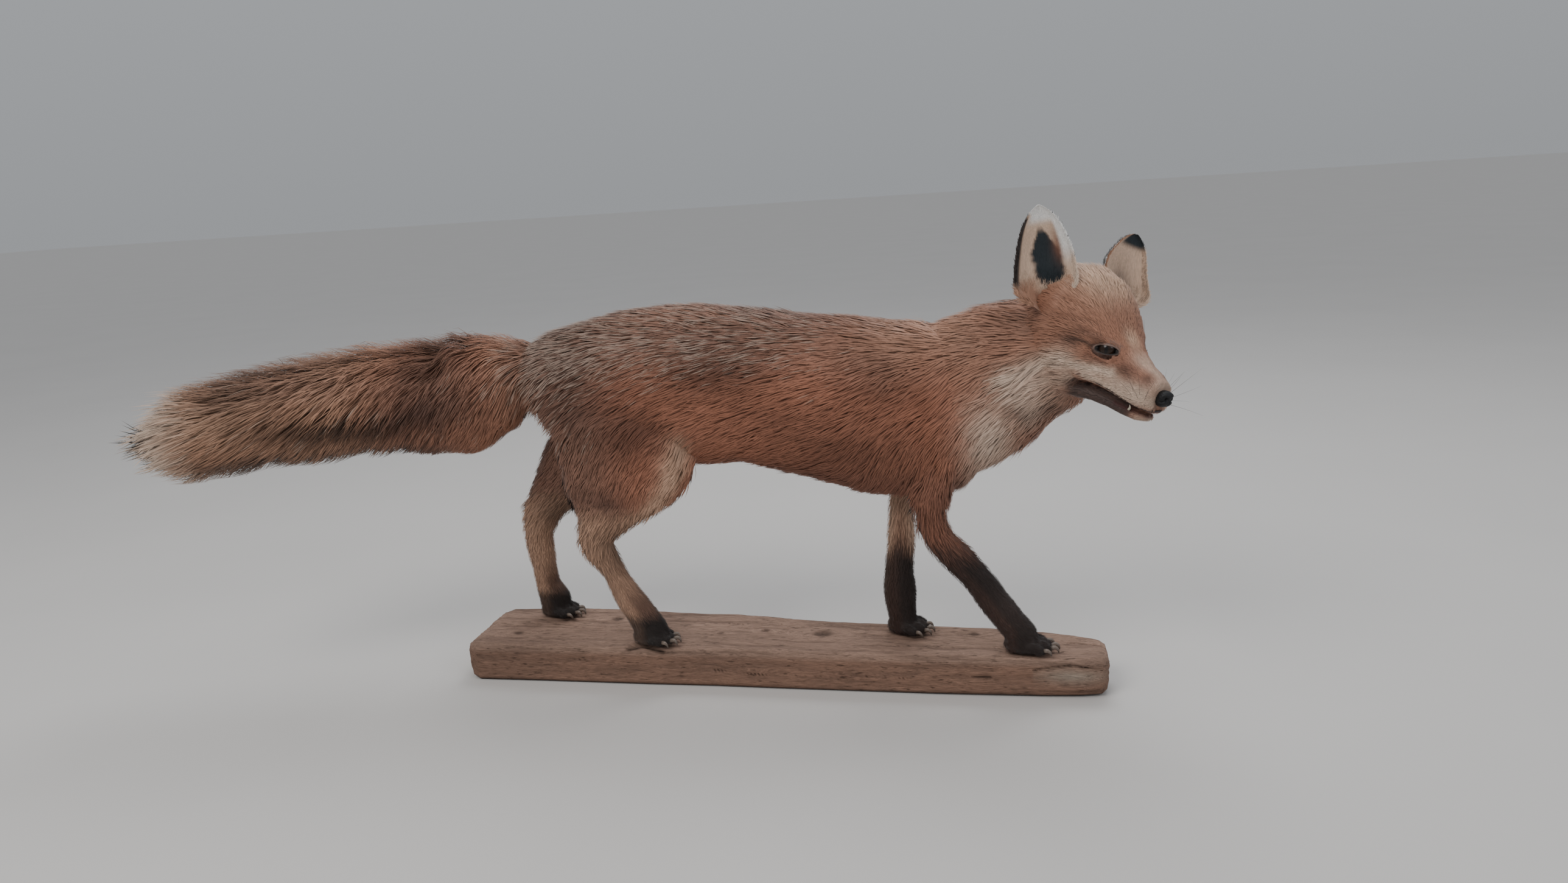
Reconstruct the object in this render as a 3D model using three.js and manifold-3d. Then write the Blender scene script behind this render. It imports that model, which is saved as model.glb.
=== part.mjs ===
// A museum mount of a red fox, life size, walking on a worn driftwood plank with its head turned to its right.
//
// Frame: millimetres, +Z up, +X along the plank towards the fox's chest, +Y to the fox's left.
// The origin is on the plank's underside, in the middle of its length. The fox is built in a frame of its
// own, whose z = 0 is the plank's top and whose y = 0 is the fox's middle plane, and is then set on the plank.
// Every surface of the fox is the outer surface of its coat.
//
// The body is made of lofts, bodies whose rings of points are worked out from a few stations each. They are
// joined to whole forms and then parted into the named nodes by thin plane cuts.

import * as THREE from 'three';
import Module from 'manifold-3d';

const wasm = await Module();
wasm.setup();

// ---------------------------------------------------------------- driving sizes

const GAP = 0.3;              // clearance between pieces that touch

const PLANK = {
  left: -341,                 // its ends along x
  right: 336,
  thickness: 42.5,
  topRadius: 6,               // worn upper edges
  bottomRadius: 5,
};
const FOX_Y = -7;             // the fox's middle plane stands this far in front of the plank's

const HEAD = {
  place: [338, -55, 307],     // between the eyes, in the fox's frame
  turn: 50,                   // degrees to the fox's right
  nod: 13,                    // degrees nose down
  lean: 6.8,                  // degrees towards the left ear
};
// The left eye, lids and tooth, in the head's frame. The right ones mirror them.
const EYE = { radius: 8.5, socket: 9.6, place: [1.5, 19, -6] };
const LIDS = { half: [11, 7, 5], roll: 4, sweep: 38, slope: 16, place: [9.5, 25.5, -7] };   // angles in degrees
const TOOTH = { radius: 1.5, height: 3, place: [43, 11.2, -44.3] };
const EAR = { half: 29, thickness: 4, hollow: 19 };
const EARS = {
  // root, tip and the way the hollow faces, in the head's frame; the left ear has shrunk as it dried
  right: { root: [-50, -40, 20], tip: [-67, -65, 104], facing: [0.8, -0.6, 0] },
  left: { root: [-48, 40, 22], tip: [-62, 60, 85], facing: [0.97, -0.2, 0] },
};
const TOE_COUNT = 4;

// Planes that part the body. Level ones are heights above the plank, upright ones places along x.
const CUT = {
  tailRoot: -236,
  tailFirst: -375,
  tailSecond: -515,
  elbow: 150.5,
  wrist: 92,
  forePaw: 34,
  knee: 146,
  hindPaw: 36,
  mouthCorner: -8,            // in the head's frame
  nosePad: 63.5,
};
// Planes that slope: where they pass, and the way they face
const SLOPE = {
  thigh: { point: [-60, 0, 193], normal: [0.363, 0, 0.932] },      // rises from the groin to the rump
  breast: { point: [203, 0, 252], normal: [0.93, -0.05, 0.36] },
  nape: { point: [250, -6, 292], normal: [0.9, -0.25, 0.35] },
};

// Points in one ring of each form
const SIDES = {
  trunk: 22, neck: 22, tail: 18, skull: 22, jaw: 16, nose: 12, leg: 10, palm: 10, toe: 6, claw: 4,
};

const COLOUR = {
  rust: 0x8a5a42, grizzle: 0x6b5145, tan: 0x9c7a5e, cream: 0xb39a84, black: 0x221d1c,
  wood: 0x85766a, leather: 0x17161a, glass: 0x1c1210, horn: 0x8e8378, ivory: 0xd8d0bf,
};

// ---------------------------------------------------------------- stations
// Trunk: x, back, belly, half width, squareness
const TRUNK = [
  [-241, 309, 262, 22, 2.0],   // tail root
  [-229, 327, 236, 39, 2.1],
  [-205, 334.5, 206, 50, 2.2], // rump
  [-172, 342, 212, 55, 2.3],   // hips
  [-130, 349.5, 212, 56, 2.3],
  [-95, 352.5, 200, 55, 2.2],  // croup
  [-60, 352.5, 187, 53, 2.2],  // tuck of the belly
  [-15, 348.5, 188, 52, 2.2],  // loin
  [55, 338.5, 170, 55, 2.2],   // last ribs
  [105, 333.5, 156, 57, 2.2],
  [145, 328, 152, 57, 2.3],    // elbow
  [178, 326.5, 152, 54, 2.3],  // withers
  [206, 326, 165, 46, 2.1],    // breast
  [230, 311, 188, 33, 2.0],
  [241, 288, 217, 16, 2.0],
];

// Neck: centre x, y, z, half width, above, below. Its rings stand square to the line of the centres.
const NECK = [
  [186, 0, 245, 47, 74, 76],
  [222, 0, 264, 47, 73, 75],
  [260, -3, 286, 47, 63, 67],
  [292, -8, 301, 45, 50, 62],
  [312, -14, 305, 38, 36, 54],
];

// Tail: centre x, y, z, half width, half height
const TAIL = [
  [-200, 0, 290, 30, 33],
  [-232, -1, 288.5, 34, 39],
  [-256, -2, 285, 36, 40],
  [-282, -5, 276.5, 43, 50],
  [-310, -10, 270.5, 52, 64],
  [-340, -15, 271.5, 54, 64],
  [-400, -29, 274.5, 54, 60],
  [-460, -44, 267.5, 53, 60.5],
  [-515, -58, 261.5, 51, 57],
  [-560, -71, 253.5, 50, 56],
  [-596, -83, 249.5, 47, 55],
  [-622, -91, 249.5, 37, 46],
  [-642, -98, 253, 20, 25],
  [-649, -101, 254.5, 6, 9],
];

// Head, in its own frame with the origin between the eyes and x forward:
// x, top, bottom, half width, height of the widest line, squareness above, squareness below
const SKULL = [
  [-98, 30, -52, 32, -8, 2.0, 2.0],
  [-84, 45, -62, 42, -8, 2.1, 2.0],
  [-62, 55, -66, 47.5, -10, 2.3, 2.0],   // nape and cheek ruff
  [-40, 56.5, -64, 48, -14, 2.4, 2.1],   // crown
  [-22, 49, -61, 43, -15, 2.6, 2.2],
  [-14, 42, -56, 39.5, -15, 2.8, 2.4],
  [-9, 37.5, -40, 37, -15, 2.9, 3.2],    // corner of the mouth
  [2, 26, -38, 31.5, -15, 2.9, 3.6],     // brow
  [13, 12.5, -38.5, 25, -18, 2.6, 4.0],  // stop
  [26, 0.5, -40, 20.5, -23, 2.4, 4.0],
  [40, -7.5, -42, 17.5, -27, 2.4, 3.6],
  [53, -11.5, -43.5, 15, -29, 2.4, 3.0],
  [61, -15.5, -43.5, 12.5, -30, 2.2, 2.6],
  [67, -20, -41, 8.5, -30, 2.0, 2.2],
];
const JAW = [
  [-30, -44, -60, 30, -52, 2.4, 2.2],
  [-12, -41.5, -58, 30, -48, 3.0, 2.2],
  [4, -40.5, -54.5, 24, -46.5, 3.6, 2.2],
  [20, -42, -54.5, 18.5, -47, 3.6, 2.2],
  [35, -44.5, -56, 14, -49, 3.4, 2.2],
  [48, -46.5, -55.5, 11, -50.5, 3.0, 2.2],
  [55, -47.5, -53.5, 7.5, -50.5, 2.4, 2.0],
  [58, -48.5, -51.5, 3.5, -50, 2.0, 2.0],
];
const NOSE = [
  [58, -26, -34, 5, -29, 2, 2],
  [64, -21.5, -36, 7.4, -28.5, 2.4, 2.2],
  [68, -21, -35.5, 7.8, -28, 2.6, 2.2],
  [71, -22, -34, 6.2, -28, 2.4, 2.0],
  [72.5, -24.5, -31.5, 3, -28, 2.0, 2.0],
];

// Legs: height, back edge x, front edge x, half width, centre y
const LEGS = {
  hind_right: [
    [290, -205, -95, 20, -28],
    [250, -217, -73, 26, -31],
    [199, -210, -58, 27, -33],   // thigh
    [176, -207, -68, 25, -34],   // knee
    [156, -201, -88, 22, -33],
    [140, -199, -110, 19, -32],
    [127, -201, -135, 16.5, -31],
    [112, -202, -158, 14, -31],  // hock
    [94, -194, -153.5, 13, -31],
    [76, -177, -147.5, 12, -30],
    [60, -171, -137, 12, -30],
    [42, -164, -124, 13, -30],
    [24, -153, -113, 14, -30],
    [10, -147, -108, 14, -30],
  ],
  hind_left: [
    [290, -205, -105, 20, 28],
    [250, -222, -100, 26, 31],
    [200, -257, -112, 25, 34],   // thigh
    [176, -267, -148, 22, 36],   // knee
    [154, -278, -188, 19, 37],
    [134, -292, -216, 17, 38],
    [118, -294, -242, 15, 38],
    [98, -294, -257, 13, 38],    // hock
    [80, -293, -258, 12.5, 38],
    [62, -289, -259, 12, 38.5],
    [44, -287, -258, 12, 39],
    [26, -286, -248, 14, 40],
    [10, -283, -246, 14, 40],
  ],
  fore_right: [
    [240, 152, 212, 18, -26],
    [195, 146, 203, 21, -31],    // upper arm
    [160, 147, 191, 19, -33],
    [142, 150, 186, 17, -34],    // elbow
    [126, 152, 190, 16, -34],
    [108, 161, 207, 15, -34],
    [88, 177, 222, 14, -33],
    [66, 199, 237, 13, -33],
    [46, 211, 251, 13, -32],
    [26, 226, 266, 14, -31],
    [10, 238, 271, 14, -31],
  ],
  fore_left: [
    [235, 132, 190, 18, 26],
    [190, 124, 168, 20, 26],     // upper arm
    [155, 121, 152, 16, 22],     // elbow
    [126, 119, 150, 14.5, 19],
    [96, 117.5, 149, 13, 16.5],
    [68, 114.5, 146, 13, 14],
    [46, 112.5, 148, 13.5, 12.5],
    [24, 115, 147, 14, 12],
    [10, 119, 147, 14, 11.5],
  ],
};

// Paws: middle of the sole, degrees it points to the right, and length over width of the print
const PAWS = {
  hind_right: { place: [-127, -30], turn: 14, length: 46, width: 33 },
  hind_left: { place: [-261, 40], turn: 12, length: 46, width: 33 },
  fore_right: { place: [258, -31], turn: 8, length: 46, width: 36 },
  fore_left: { place: [137, 11], turn: 20, length: 42, width: 36 },
};

// ---------------------------------------------------------------- geometry

const radians = THREE.MathUtils.degToRad;
const vector = (x, y, z) => new THREE.Vector3(x, y, z);

/** Rows through the given stations, by a cubic, with about `steps` rows to each interval. */
function between(stations, steps) {
  const keys = stations.map((_, i) => i);
  const curve = new THREE.CubicInterpolant(keys, stations.flat(), stations[0].length);
  const last = stations.length - 1;
  const count = Math.round(last * steps);
  return Array.from({ length: count + 1 }, (_, i) => Array.from(curve.evaluate(last * i / count)));
}

/** A ring round `centre` in the plane of `side` and `up`: a superellipse with its own upper and lower half. */
function ring({ centre, side, up, half, above, below, squareAbove = 2, squareBelow = 2 }, sides) {
  return Array.from({ length: sides }, (_, i) => {
    const angle = (i + 0.5) * 2 * Math.PI / sides;
    const c = Math.cos(angle);
    const s = Math.sin(angle);
    const power = 2 / (s > 0 ? squareAbove : squareBelow);
    const across = half * Math.sign(c) * Math.abs(c) ** power;
    const high = (s > 0 ? above : below) * Math.sign(s) * Math.abs(s) ** power;
    return centre.clone().addScaledVector(side, across).addScaledVector(up, high);
  });
}

/** The closed geometry through a row of rings, each end closed on the middle of its ring. */
function skinOver(rings) {
  const sides = rings[0].length;
  const points = rings.flat();
  const index = [];
  for (let r = 0; r + 1 < rings.length; r++) {
    for (let i = 0; i < sides; i++) {
      const a = r * sides + i;
      const b = r * sides + (i + 1) % sides;
      index.push(a, b, b + sides, a, b + sides, a + sides);
    }
  }
  for (const [first, turned] of [[0, true], [(rings.length - 1) * sides, false]]) {
    const middle = points.length;
    const end = points.slice(first, first + sides);
    points.push(end.reduce((sum, p) => sum.add(p), vector(0, 0, 0)).divideScalar(sides));
    for (let i = 0; i < sides; i++) {
      const a = first + i;
      const b = first + (i + 1) % sides;
      index.push(...(turned ? [b, a, middle] : [a, b, middle]));
    }
  }
  const geometry = new THREE.BufferGeometry().setFromPoints(points);
  geometry.setIndex(index);
  return geometry;
}

/** Six times the signed volume of an indexed geometry, below zero where its faces point in. */
function signedVolume(geometry) {
  const at = geometry.attributes.position;
  const corner = (i) => vector().fromBufferAttribute(at, i);
  const index = geometry.index.array;
  let sum = 0;
  for (let i = 0; i < index.length; i += 3) {
    sum += corner(index[i]).dot(corner(index[i + 1]).cross(corner(index[i + 2])));
  }
  return sum;
}

/** The solid of a closed geometry, with its faces turned out. */
function solid(geometry) {
  const index = Uint32Array.from(geometry.index.array);
  if (signedVolume(geometry) < 0) index.reverse();
  return new wasm.Manifold(new wasm.Mesh({
    numProp: 3,
    vertProperties: Float32Array.from(geometry.attributes.position.array),
    triVerts: index,
  }));
}

/** The part of a body on the side of a plane that its normal points to, half a gap away from it. */
function beyond(body, normal, point) {
  const n = normal.clone().normalize();
  return body.trimByPlane(n.toArray(), n.dot(point) + GAP / 2);
}

/** The parts of a body on both sides of a plane: [behind it, beyond it]. */
function parted(body, normal, point) {
  return [beyond(body, normal.clone().negate(), point), beyond(body, normal, point)];
}

const AXIS = { x: vector(1, 0, 0), y: vector(0, 1, 0), z: vector(0, 0, 1) };
const join = (...bodies) => bodies.reduce((whole, body) => whole.add(body));

/** A body along a line of centres, with rings square to it. Rows: x, y, z, half width, above, below. */
function along(stations, sides, steps = 1) {
  const rows = between(stations, steps);
  const centres = rows.map(([x, y, z]) => vector(x, y, z));
  return solid(skinOver(rows.map(([, , , half, above, below], i) => {
    const ahead = centres[Math.min(i + 1, rows.length - 1)];
    const tangent = ahead.clone().sub(centres[Math.max(i - 1, 0)]).normalize();
    const side = AXIS.z.clone().cross(tangent).normalize();
    const up = tangent.clone().cross(side);
    return ring({ centre: centres[i], side, up, half, above, below }, sides);
  })));
}

/** A body with upright rings. Rows: x, top, bottom, half width, widest height, squareness above, below. */
function upright(stations, sides) {
  return solid(skinOver(stations.map((row) => {
    const [x, top, bottom, half, widest, squareAbove, squareBelow] = row;
    const [above, below] = [top - widest, widest - bottom];
    const centre = vector(x, 0, widest);
    return ring({ centre, side: AXIS.y, up: AXIS.z, half, above, below, squareAbove, squareBelow }, sides);
  })));
}

// ---------------------------------------------------------------- trunk, neck and tail

function trunkForm() {
  const widestShare = 0.46;     // of the way up from belly to back
  return upright(TRUNK.map(([x, back, belly, half, square]) =>
    [x, back, belly, half, belly + widestShare * (back - belly), square, square]), SIDES.trunk);
}

function tailForm() {
  return along(TAIL.map(([x, y, z, half, high]) => [x, y, z, half, high, high]), SIDES.tail);
}

function neckForm(grow = 0) {
  return along(NECK.map(([x, y, z, ...reach]) => [x, y, z, ...reach.map((v) => v + grow)]), SIDES.neck, 1.5);
}

// ---------------------------------------------------------------- head

/** The head's frame as a matrix: x towards the nose, y to the left, z up. */
function headFrame() {
  const [turn, nod, lean] = [HEAD.turn, HEAD.nod, HEAD.lean].map(radians);
  const turned = new THREE.Matrix4().makeRotationZ(-turn);
  const nodded = new THREE.Matrix4().makeRotationY(nod);
  const leant = new THREE.Matrix4().makeRotationX(-lean);
  const placed = new THREE.Matrix4().makeTranslation(...HEAD.place);
  return placed.multiply(turned).multiply(nodded).multiply(leant);
}

function ball(place, radius, around, rows) {
  return merged(new THREE.SphereGeometry(radius, around, rows).translate(...place));
}

/** The solid of a three.js geometry once its seams are closed. */
function merged(geometry) {
  const points = [];
  const known = new Map();
  const at = geometry.attributes.position;
  const same = Array.from({ length: at.count }, (_, i) => {
    const p = vector().fromBufferAttribute(at, i);
    const key = p.toArray().map((v) => v.toFixed(4)).join();
    if (!known.has(key)) known.set(key, points.push(p) - 1);
    return known.get(key);
  });
  const index = [];
  for (let i = 0; i < geometry.index.count; i += 3) {
    const [a, b, c] = [0, 1, 2].map((k) => same[geometry.index.array[i + k]]);
    if (a !== b && b !== c && c !== a) index.push(a, b, c);
  }
  const closed = new THREE.BufferGeometry().setFromPoints(points);
  closed.setIndex(index);
  return solid(closed);
}

/** The almond opening round an eye, which runs from the inner corner, low and forward, to the outer one. */
function eyeOpening(side) {
  const almond = new THREE.SphereGeometry(1, 12, 6).scale(...LIDS.half);
  almond.rotateX(radians(LIDS.roll)).rotateZ(radians(-LIDS.sweep)).rotateY(radians(LIDS.slope));
  return merged(almond.translate(...LIDS.place).scale(1, side, 1));
}

/** An ear: a leaf that is hollow in front, from inside the head to a blunt tip. side is 1 for the left one. */
function earForm(side, { root, tip, facing }) {
  const base = vector(...root);
  const axis = vector(...tip).sub(base);
  const length = axis.length();
  axis.normalize();
  const front = vector(...facing);
  front.addScaledVector(axis, -front.dot(axis)).normalize();
  const across = axis.clone().cross(front).multiplyScalar(side);
  const [rows, columns] = [8, 6];
  const sheet = (depth) => Array.from({ length: rows + 1 }, (_, r) => {
    const t = Math.sin(1.5 * r / rows) / Math.sin(1.5);   // rows close up towards the tip
    const flare = 0.62 + 0.38 * Math.sin(Math.min(t / 0.3, 1) * Math.PI / 2);
    const half = EAR.half * flare * (1 - 0.985 * t ** 2.4) ** 0.62;
    const hollow = EAR.hollow * (1 - t) + 1.5;
    return Array.from({ length: columns + 1 }, (_, c) => {
      const u = 2 * c / columns - 1;
      return base.clone()
        .addScaledVector(axis, length * t)
        .addScaledVector(across, half * Math.sin(1.4 * u) / Math.sin(1.4))
        .addScaledVector(front, -hollow * (1 - u * u) - depth * (1 - 0.4 * u * u));
    });
  });
  const [inner, outer] = [sheet(0), sheet(EAR.thickness)];
  return solid(skinOver(inner.map((row, r) => [...row, ...outer[r].reverse()])));
}

function skullForm(grow = 0) {
  return upright(SKULL.map(([x, top, bottom, half, ...rest]) =>
    [x, top + grow, bottom - grow, half + grow, ...rest]), SIDES.skull);
}

function headForms() {
  const wholeJaw = upright(JAW, SIDES.jaw);
  const corner = vector(CUT.mouthCorner, 0, 0);
  const [jawRoot, jaw] = parted(wholeJaw, AXIS.x, corner);
  const pad = vector(CUT.nosePad, 0, 0);
  const muzzle = parted(skullForm(), AXIS.x, pad)[0];
  const nose = parted(upright(NOSE, SIDES.nose), AXIS.x, pad)[1];
  const nodes = { lower_jaw: jaw.subtract(skullForm(GAP)), nose };
  let head = join(muzzle, jawRoot);
  for (const [name, side] of [['left', 1], ['right', -1]]) {
    const place = EYE.place.map((v, i) => (i === 1 ? side * v : v));
    const socket = join(ball(place, EYE.socket, 10, 6), eyeOpening(side));
    nodes[`eye_${name}`] = ball(place, EYE.radius, 12, 8);
    nodes[`ear_${name}`] = earForm(side, EARS[name]);
    nodes[`lower_canine_${name}`] = toothForm(side);
    head = head.subtract(socket);
  }
  return { head, nodes };
}

/** A lower canine: what shows of it between the lips. */
function toothForm(side) {
  const tooth = new THREE.ConeGeometry(TOOTH.radius, TOOTH.height, 6).rotateX(radians(90));
  return merged(tooth.translate(...TOOTH.place).scale(1, side, 1));
}

// ---------------------------------------------------------------- legs and paws

/** A leg with level rings. Rows: height, back edge x, front edge x, half width, centre y. */
function legForm(stations) {
  return solid(skinOver(stations.map(([height, back, front, half, y]) => {
    const centre = vector((back + front) / 2, y, height);
    const deep = (front - back) / 2;
    return ring({ centre, side: AXIS.y, up: AXIS.x, half, above: deep, below: deep }, SIDES.leg);
  })));
}

/** The line of one toe in its paw's frame, as stations for `along`, swollen by `grow`. */
function toeStations(index, { length, width }, grow) {
  const rank = index - (TOE_COUNT - 1) / 2;            // -1.5, -0.5, 0.5, 1.5 from right to left
  const outer = Math.abs(rank) > 1;
  const y = rank * width / 4.3;
  const tip = length * (outer ? 0.37 : 0.5);
  const r = width * 0.155 + grow;
  return [
    [tip - length * 0.45, y * 0.8, 9, r * 0.7, r, r],
    [tip - length * 0.24, y, 9, r, r * 1.15, r * 1.1],
    [tip - length * 0.08, y * 1.05, 6.5, r * 0.95, r, r],
    [tip + grow, y * 1.05, 5, r * 0.45, r * 0.5, r * 0.5],
  ];
}

function clawStations(index, paw) {
  const [x, y] = toeStations(index, paw, 0)[3];
  return [
    [x - 5, y, 6.5, 1.7, 1.9, 1.9],
    [x + 1.5, y, 6, 1.4, 1.6, 1.6],
    [x + 5, y, 4.2, 0.9, 1.1, 1.1],
    [x + 7.5, y, 1.6, 0.3, 0.4, 0.4],
  ];
}

/** A paw and its claws, on the plank: { paw, claws }. */
function pawForms(paw) {
  const { place, turn, length, width } = paw;
  const settle = (body) => body.rotate([0, 0, -turn]).translate([...place, 0]);
  const onPlank = (body) => beyond(body, AXIS.z, vector(0, 0, GAP / 2));
  const palm = upright([
    [-0.50 * length, 12, 4, 0.16 * width, 8, 2, 2],
    [-0.40 * length, 20, 0, 0.36 * width, 8, 2.2, 2.4],
    [-0.10 * length, 24, -2, 0.44 * width, 8, 2.2, 2.4],
    [0.14 * length, 17, -1, 0.40 * width, 7, 2.2, 2.4],
    [0.24 * length, 12, 2, 0.26 * width, 6, 2, 2],
  ], SIDES.palm);
  const toe = (i, grow) => along(toeStations(i, paw, grow), SIDES.toe);
  const toes = Array.from({ length: TOE_COUNT }, (_, i) => toe(i, 0));
  const claws = Array.from({ length: TOE_COUNT }, (_, i) =>
    onPlank(along(clawStations(i, paw), SIDES.claw).subtract(toe(i, GAP))));
  return { paw: settle(onPlank(join(palm, ...toes))), claws: claws.map(settle) };
}

// ---------------------------------------------------------------- plank

/** A driftwood plank with worn edges. Its underside is flat. */
function plankForm() {
  // x, front edge y, back edge y, lowest, highest, how much more the lower front edge is worn
  const outline = [
    [PLANK.left, -40, 46, 7, 35, 0],
    [PLANK.left + 4, -45, 51, 2, 40, 0],
    [PLANK.left + 14, -50, 56, 0, 42.5, 0],
    [-247, -50, 62, 0, 42.5, 0],
    [-135, -51, 53, 0, 42.5, 0],
    [-60, -50.5, 49, 0, 42.5, 0],
    [10, -52, 39, 0, 42.5, 0],
    [96, -53, 30, 0, 42.5, 0],
    [165, -54.5, 24, 0, 42.5, 1],
    [219, -55, 22.5, 0, 42.5, 3],
    [275, -56, 15, 0, 42.5, 6],
    [310, -55.5, 5, 0, 42.5, 9],
    [PLANK.right - 8, -53, -2, 0, 42.5, 11],
    [PLANK.right - 2, -48, -6, 3, 40, 10],
    [PLANK.right, -42, -10, 10, 33, 6],
  ];
  const arcSteps = 2;
  const corner = (y, z, radius, start) => Array.from({ length: arcSteps + 1 }, (_, i) => {
    const angle = start + (Math.PI / 2) * i / arcSteps;
    return [y + radius * Math.cos(angle), z + radius * Math.sin(angle)];
  });
  return solid(skinOver(outline.map(([x, front, back, low, high, wear]) => {
    const [top, bottom, worn] = [PLANK.topRadius, PLANK.bottomRadius, PLANK.bottomRadius + wear];
    return [
      ...corner(back - top, high - top, top, 0),
      ...corner(front + top, high - top, top, Math.PI / 2),
      ...corner(front + worn, low + worn, worn, Math.PI),
      ...corner(back - bottom, low + bottom, bottom, 1.5 * Math.PI),
    ].map(([y, z]) => vector(x, y, z));
  })));
}

// ---------------------------------------------------------------- nodes

function mesh(name, body, colour, roughness = 0.9) {
  const { vertProperties, triVerts } = body.getMesh();
  const geometry = new THREE.BufferGeometry();
  geometry.setAttribute('position', new THREE.BufferAttribute(vertProperties, 3));
  geometry.setIndex(new THREE.BufferAttribute(triVerts, 1));
  const made = new THREE.Mesh(geometry, new THREE.MeshStandardMaterial({ color: colour, roughness }));
  made.name = name;
  return made;
}

const fox = new THREE.Group();
fox.position.set(0, FOX_Y, PLANK.thickness);

function addNode(name, body, colour, roughness) {
  fox.add(mesh(name, body, colour, roughness));
}

// The head's pieces are made in its own frame and brought into the fox's to meet the neck.
const headMatrix = headFrame().elements;
const toFox = (body) => body.transform(headMatrix);
const { head, nodes: headNodes } = headForms();

const legs = Object.fromEntries(Object.entries(LEGS).map(([name, rows]) => [name, legForm(rows)]));
const level = (height) => vector(0, 0, height);
const cutAt = (x) => vector(x, 0, 0);
const [trunk, neck, tail] = [trunkForm(), neckForm(), tailForm()];

const bySlope = (body, { normal, point }) => parted(body, vector(...normal), vector(...point));

// The trunk keeps its shoulders and hips.
const shoulders = ['fore_right', 'fore_left'].map((name) => parted(legs[name], AXIS.z, level(CUT.elbow))[1]);
const middle = join(trunk, neck, tail, ...shoulders, legs.hind_right, legs.hind_left);
const aboveThighs = bySlope(middle, SLOPE.thigh)[1];
const behindBreast = bySlope(aboveThighs, SLOPE.breast)[0];
addNode('trunk', parted(behindBreast, AXIS.x, cutAt(CUT.tailRoot))[1], COLOUR.rust);

const front = join(trunk, neck, toFox(head));
const [withNeck, headNode] = bySlope(front, SLOPE.nape);
addNode('neck', bySlope(withNeck, SLOPE.breast)[1], COLOUR.rust);
addNode('head', headNode, COLOUR.rust);

const behindEars = join(toFox(skullForm(GAP)), neckForm(GAP));
for (const side of ['right', 'left']) {
  addNode(`ear_${side}`, toFox(headNodes[`ear_${side}`]).subtract(behindEars), COLOUR.tan);
  addNode(`eye_${side}`, toFox(headNodes[`eye_${side}`]), COLOUR.glass, 0.1);
  addNode(`lower_canine_${side}`, toFox(headNodes[`lower_canine_${side}`]), COLOUR.ivory, 0.4);
}
addNode('lower_jaw', toFox(headNodes.lower_jaw), COLOUR.black);
addNode('nose', toFox(headNodes.nose), COLOUR.leather, 0.5);

const brush = parted(tail, AXIS.x, cutAt(CUT.tailRoot))[0];
const [beyondFirst, tailRoot] = parted(brush, AXIS.x, cutAt(CUT.tailFirst));
const [tailTip, tailMiddle] = parted(beyondFirst, AXIS.x, cutAt(CUT.tailSecond));
addNode('tail_root', tailRoot, COLOUR.tan);
addNode('tail_middle', tailMiddle, COLOUR.tan);
addNode('tail_tip', tailTip, COLOUR.cream);

const hips = parted(trunk, AXIS.x, cutAt(CUT.tailRoot))[1];
for (const [name, rightOrLeft] of [['hind_right', -1], ['hind_left', 1]]) {
  const belowSlope = bySlope(join(hips, legs[name]), SLOPE.thigh)[0];
  const oneSide = parted(belowSlope, AXIS.y.clone().multiplyScalar(rightOrLeft), level(0))[1];
  const [rest, thigh] = parted(oneSide, AXIS.z, level(CUT.knee));
  const [foot, shank] = parted(rest, AXIS.z, level(CUT.hindPaw));
  addNode(`${name}_thigh`, thigh, COLOUR.rust);
  addNode(`${name}_shank`, shank, COLOUR.tan);
  addPaw(name, foot);
}
for (const name of ['fore_right', 'fore_left']) {
  const [belowElbow] = parted(legs[name], AXIS.z, level(CUT.elbow));
  const [rest, upper] = parted(belowElbow, AXIS.z, level(CUT.wrist));
  const [foot, lower] = parted(rest, AXIS.z, level(CUT.forePaw));
  addNode(`${name}_upper`, upper, COLOUR.rust);
  addNode(`${name}_lower`, lower, COLOUR.black);
  addPaw(name, foot);
}

/** Adds a paw, which takes in the leg's foot end, and its claws, which are numbered from right to left. */
function addPaw(name, foot) {
  const { paw, claws } = pawForms(PAWS[name]);
  addNode(`${name}_paw`, join(paw, foot), COLOUR.black);
  claws.forEach((claw, i) => addNode(`${name}_claw_${i + 1}`, claw, COLOUR.horn, 0.5));
}

const model = new THREE.Group();
model.add(mesh('base_plank', plankForm(), COLOUR.wood), fox);

export default model;
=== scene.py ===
"""A mounted red fox on a driftwood plank: skin, coat, face, claws and wood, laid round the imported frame."""

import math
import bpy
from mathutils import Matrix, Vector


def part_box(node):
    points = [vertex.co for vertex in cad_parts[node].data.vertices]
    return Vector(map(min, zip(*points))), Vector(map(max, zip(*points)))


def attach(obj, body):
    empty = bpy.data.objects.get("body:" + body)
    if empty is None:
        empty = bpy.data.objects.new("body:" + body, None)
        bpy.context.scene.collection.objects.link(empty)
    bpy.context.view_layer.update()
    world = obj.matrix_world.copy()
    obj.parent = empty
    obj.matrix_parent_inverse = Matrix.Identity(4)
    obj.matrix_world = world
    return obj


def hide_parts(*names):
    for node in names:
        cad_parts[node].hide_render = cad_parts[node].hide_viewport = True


bl_info = {
    "name": "Mounted Red Fox",
    "version": (1, 0, 0),
    "blender": (4, 5, 0),
    "location": "3D View > Sidebar > Fox",
    "description": "Dresses a mounted red fox and the driftwood plank that carries it",
    "category": "Object",
}

import bmesh
import bpy
import numpy as np
from bpy.props import FloatProperty, FloatVectorProperty, IntProperty, PointerProperty
from mathutils import Matrix, Vector
from mathutils.bvhtree import BVHTree

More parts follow.
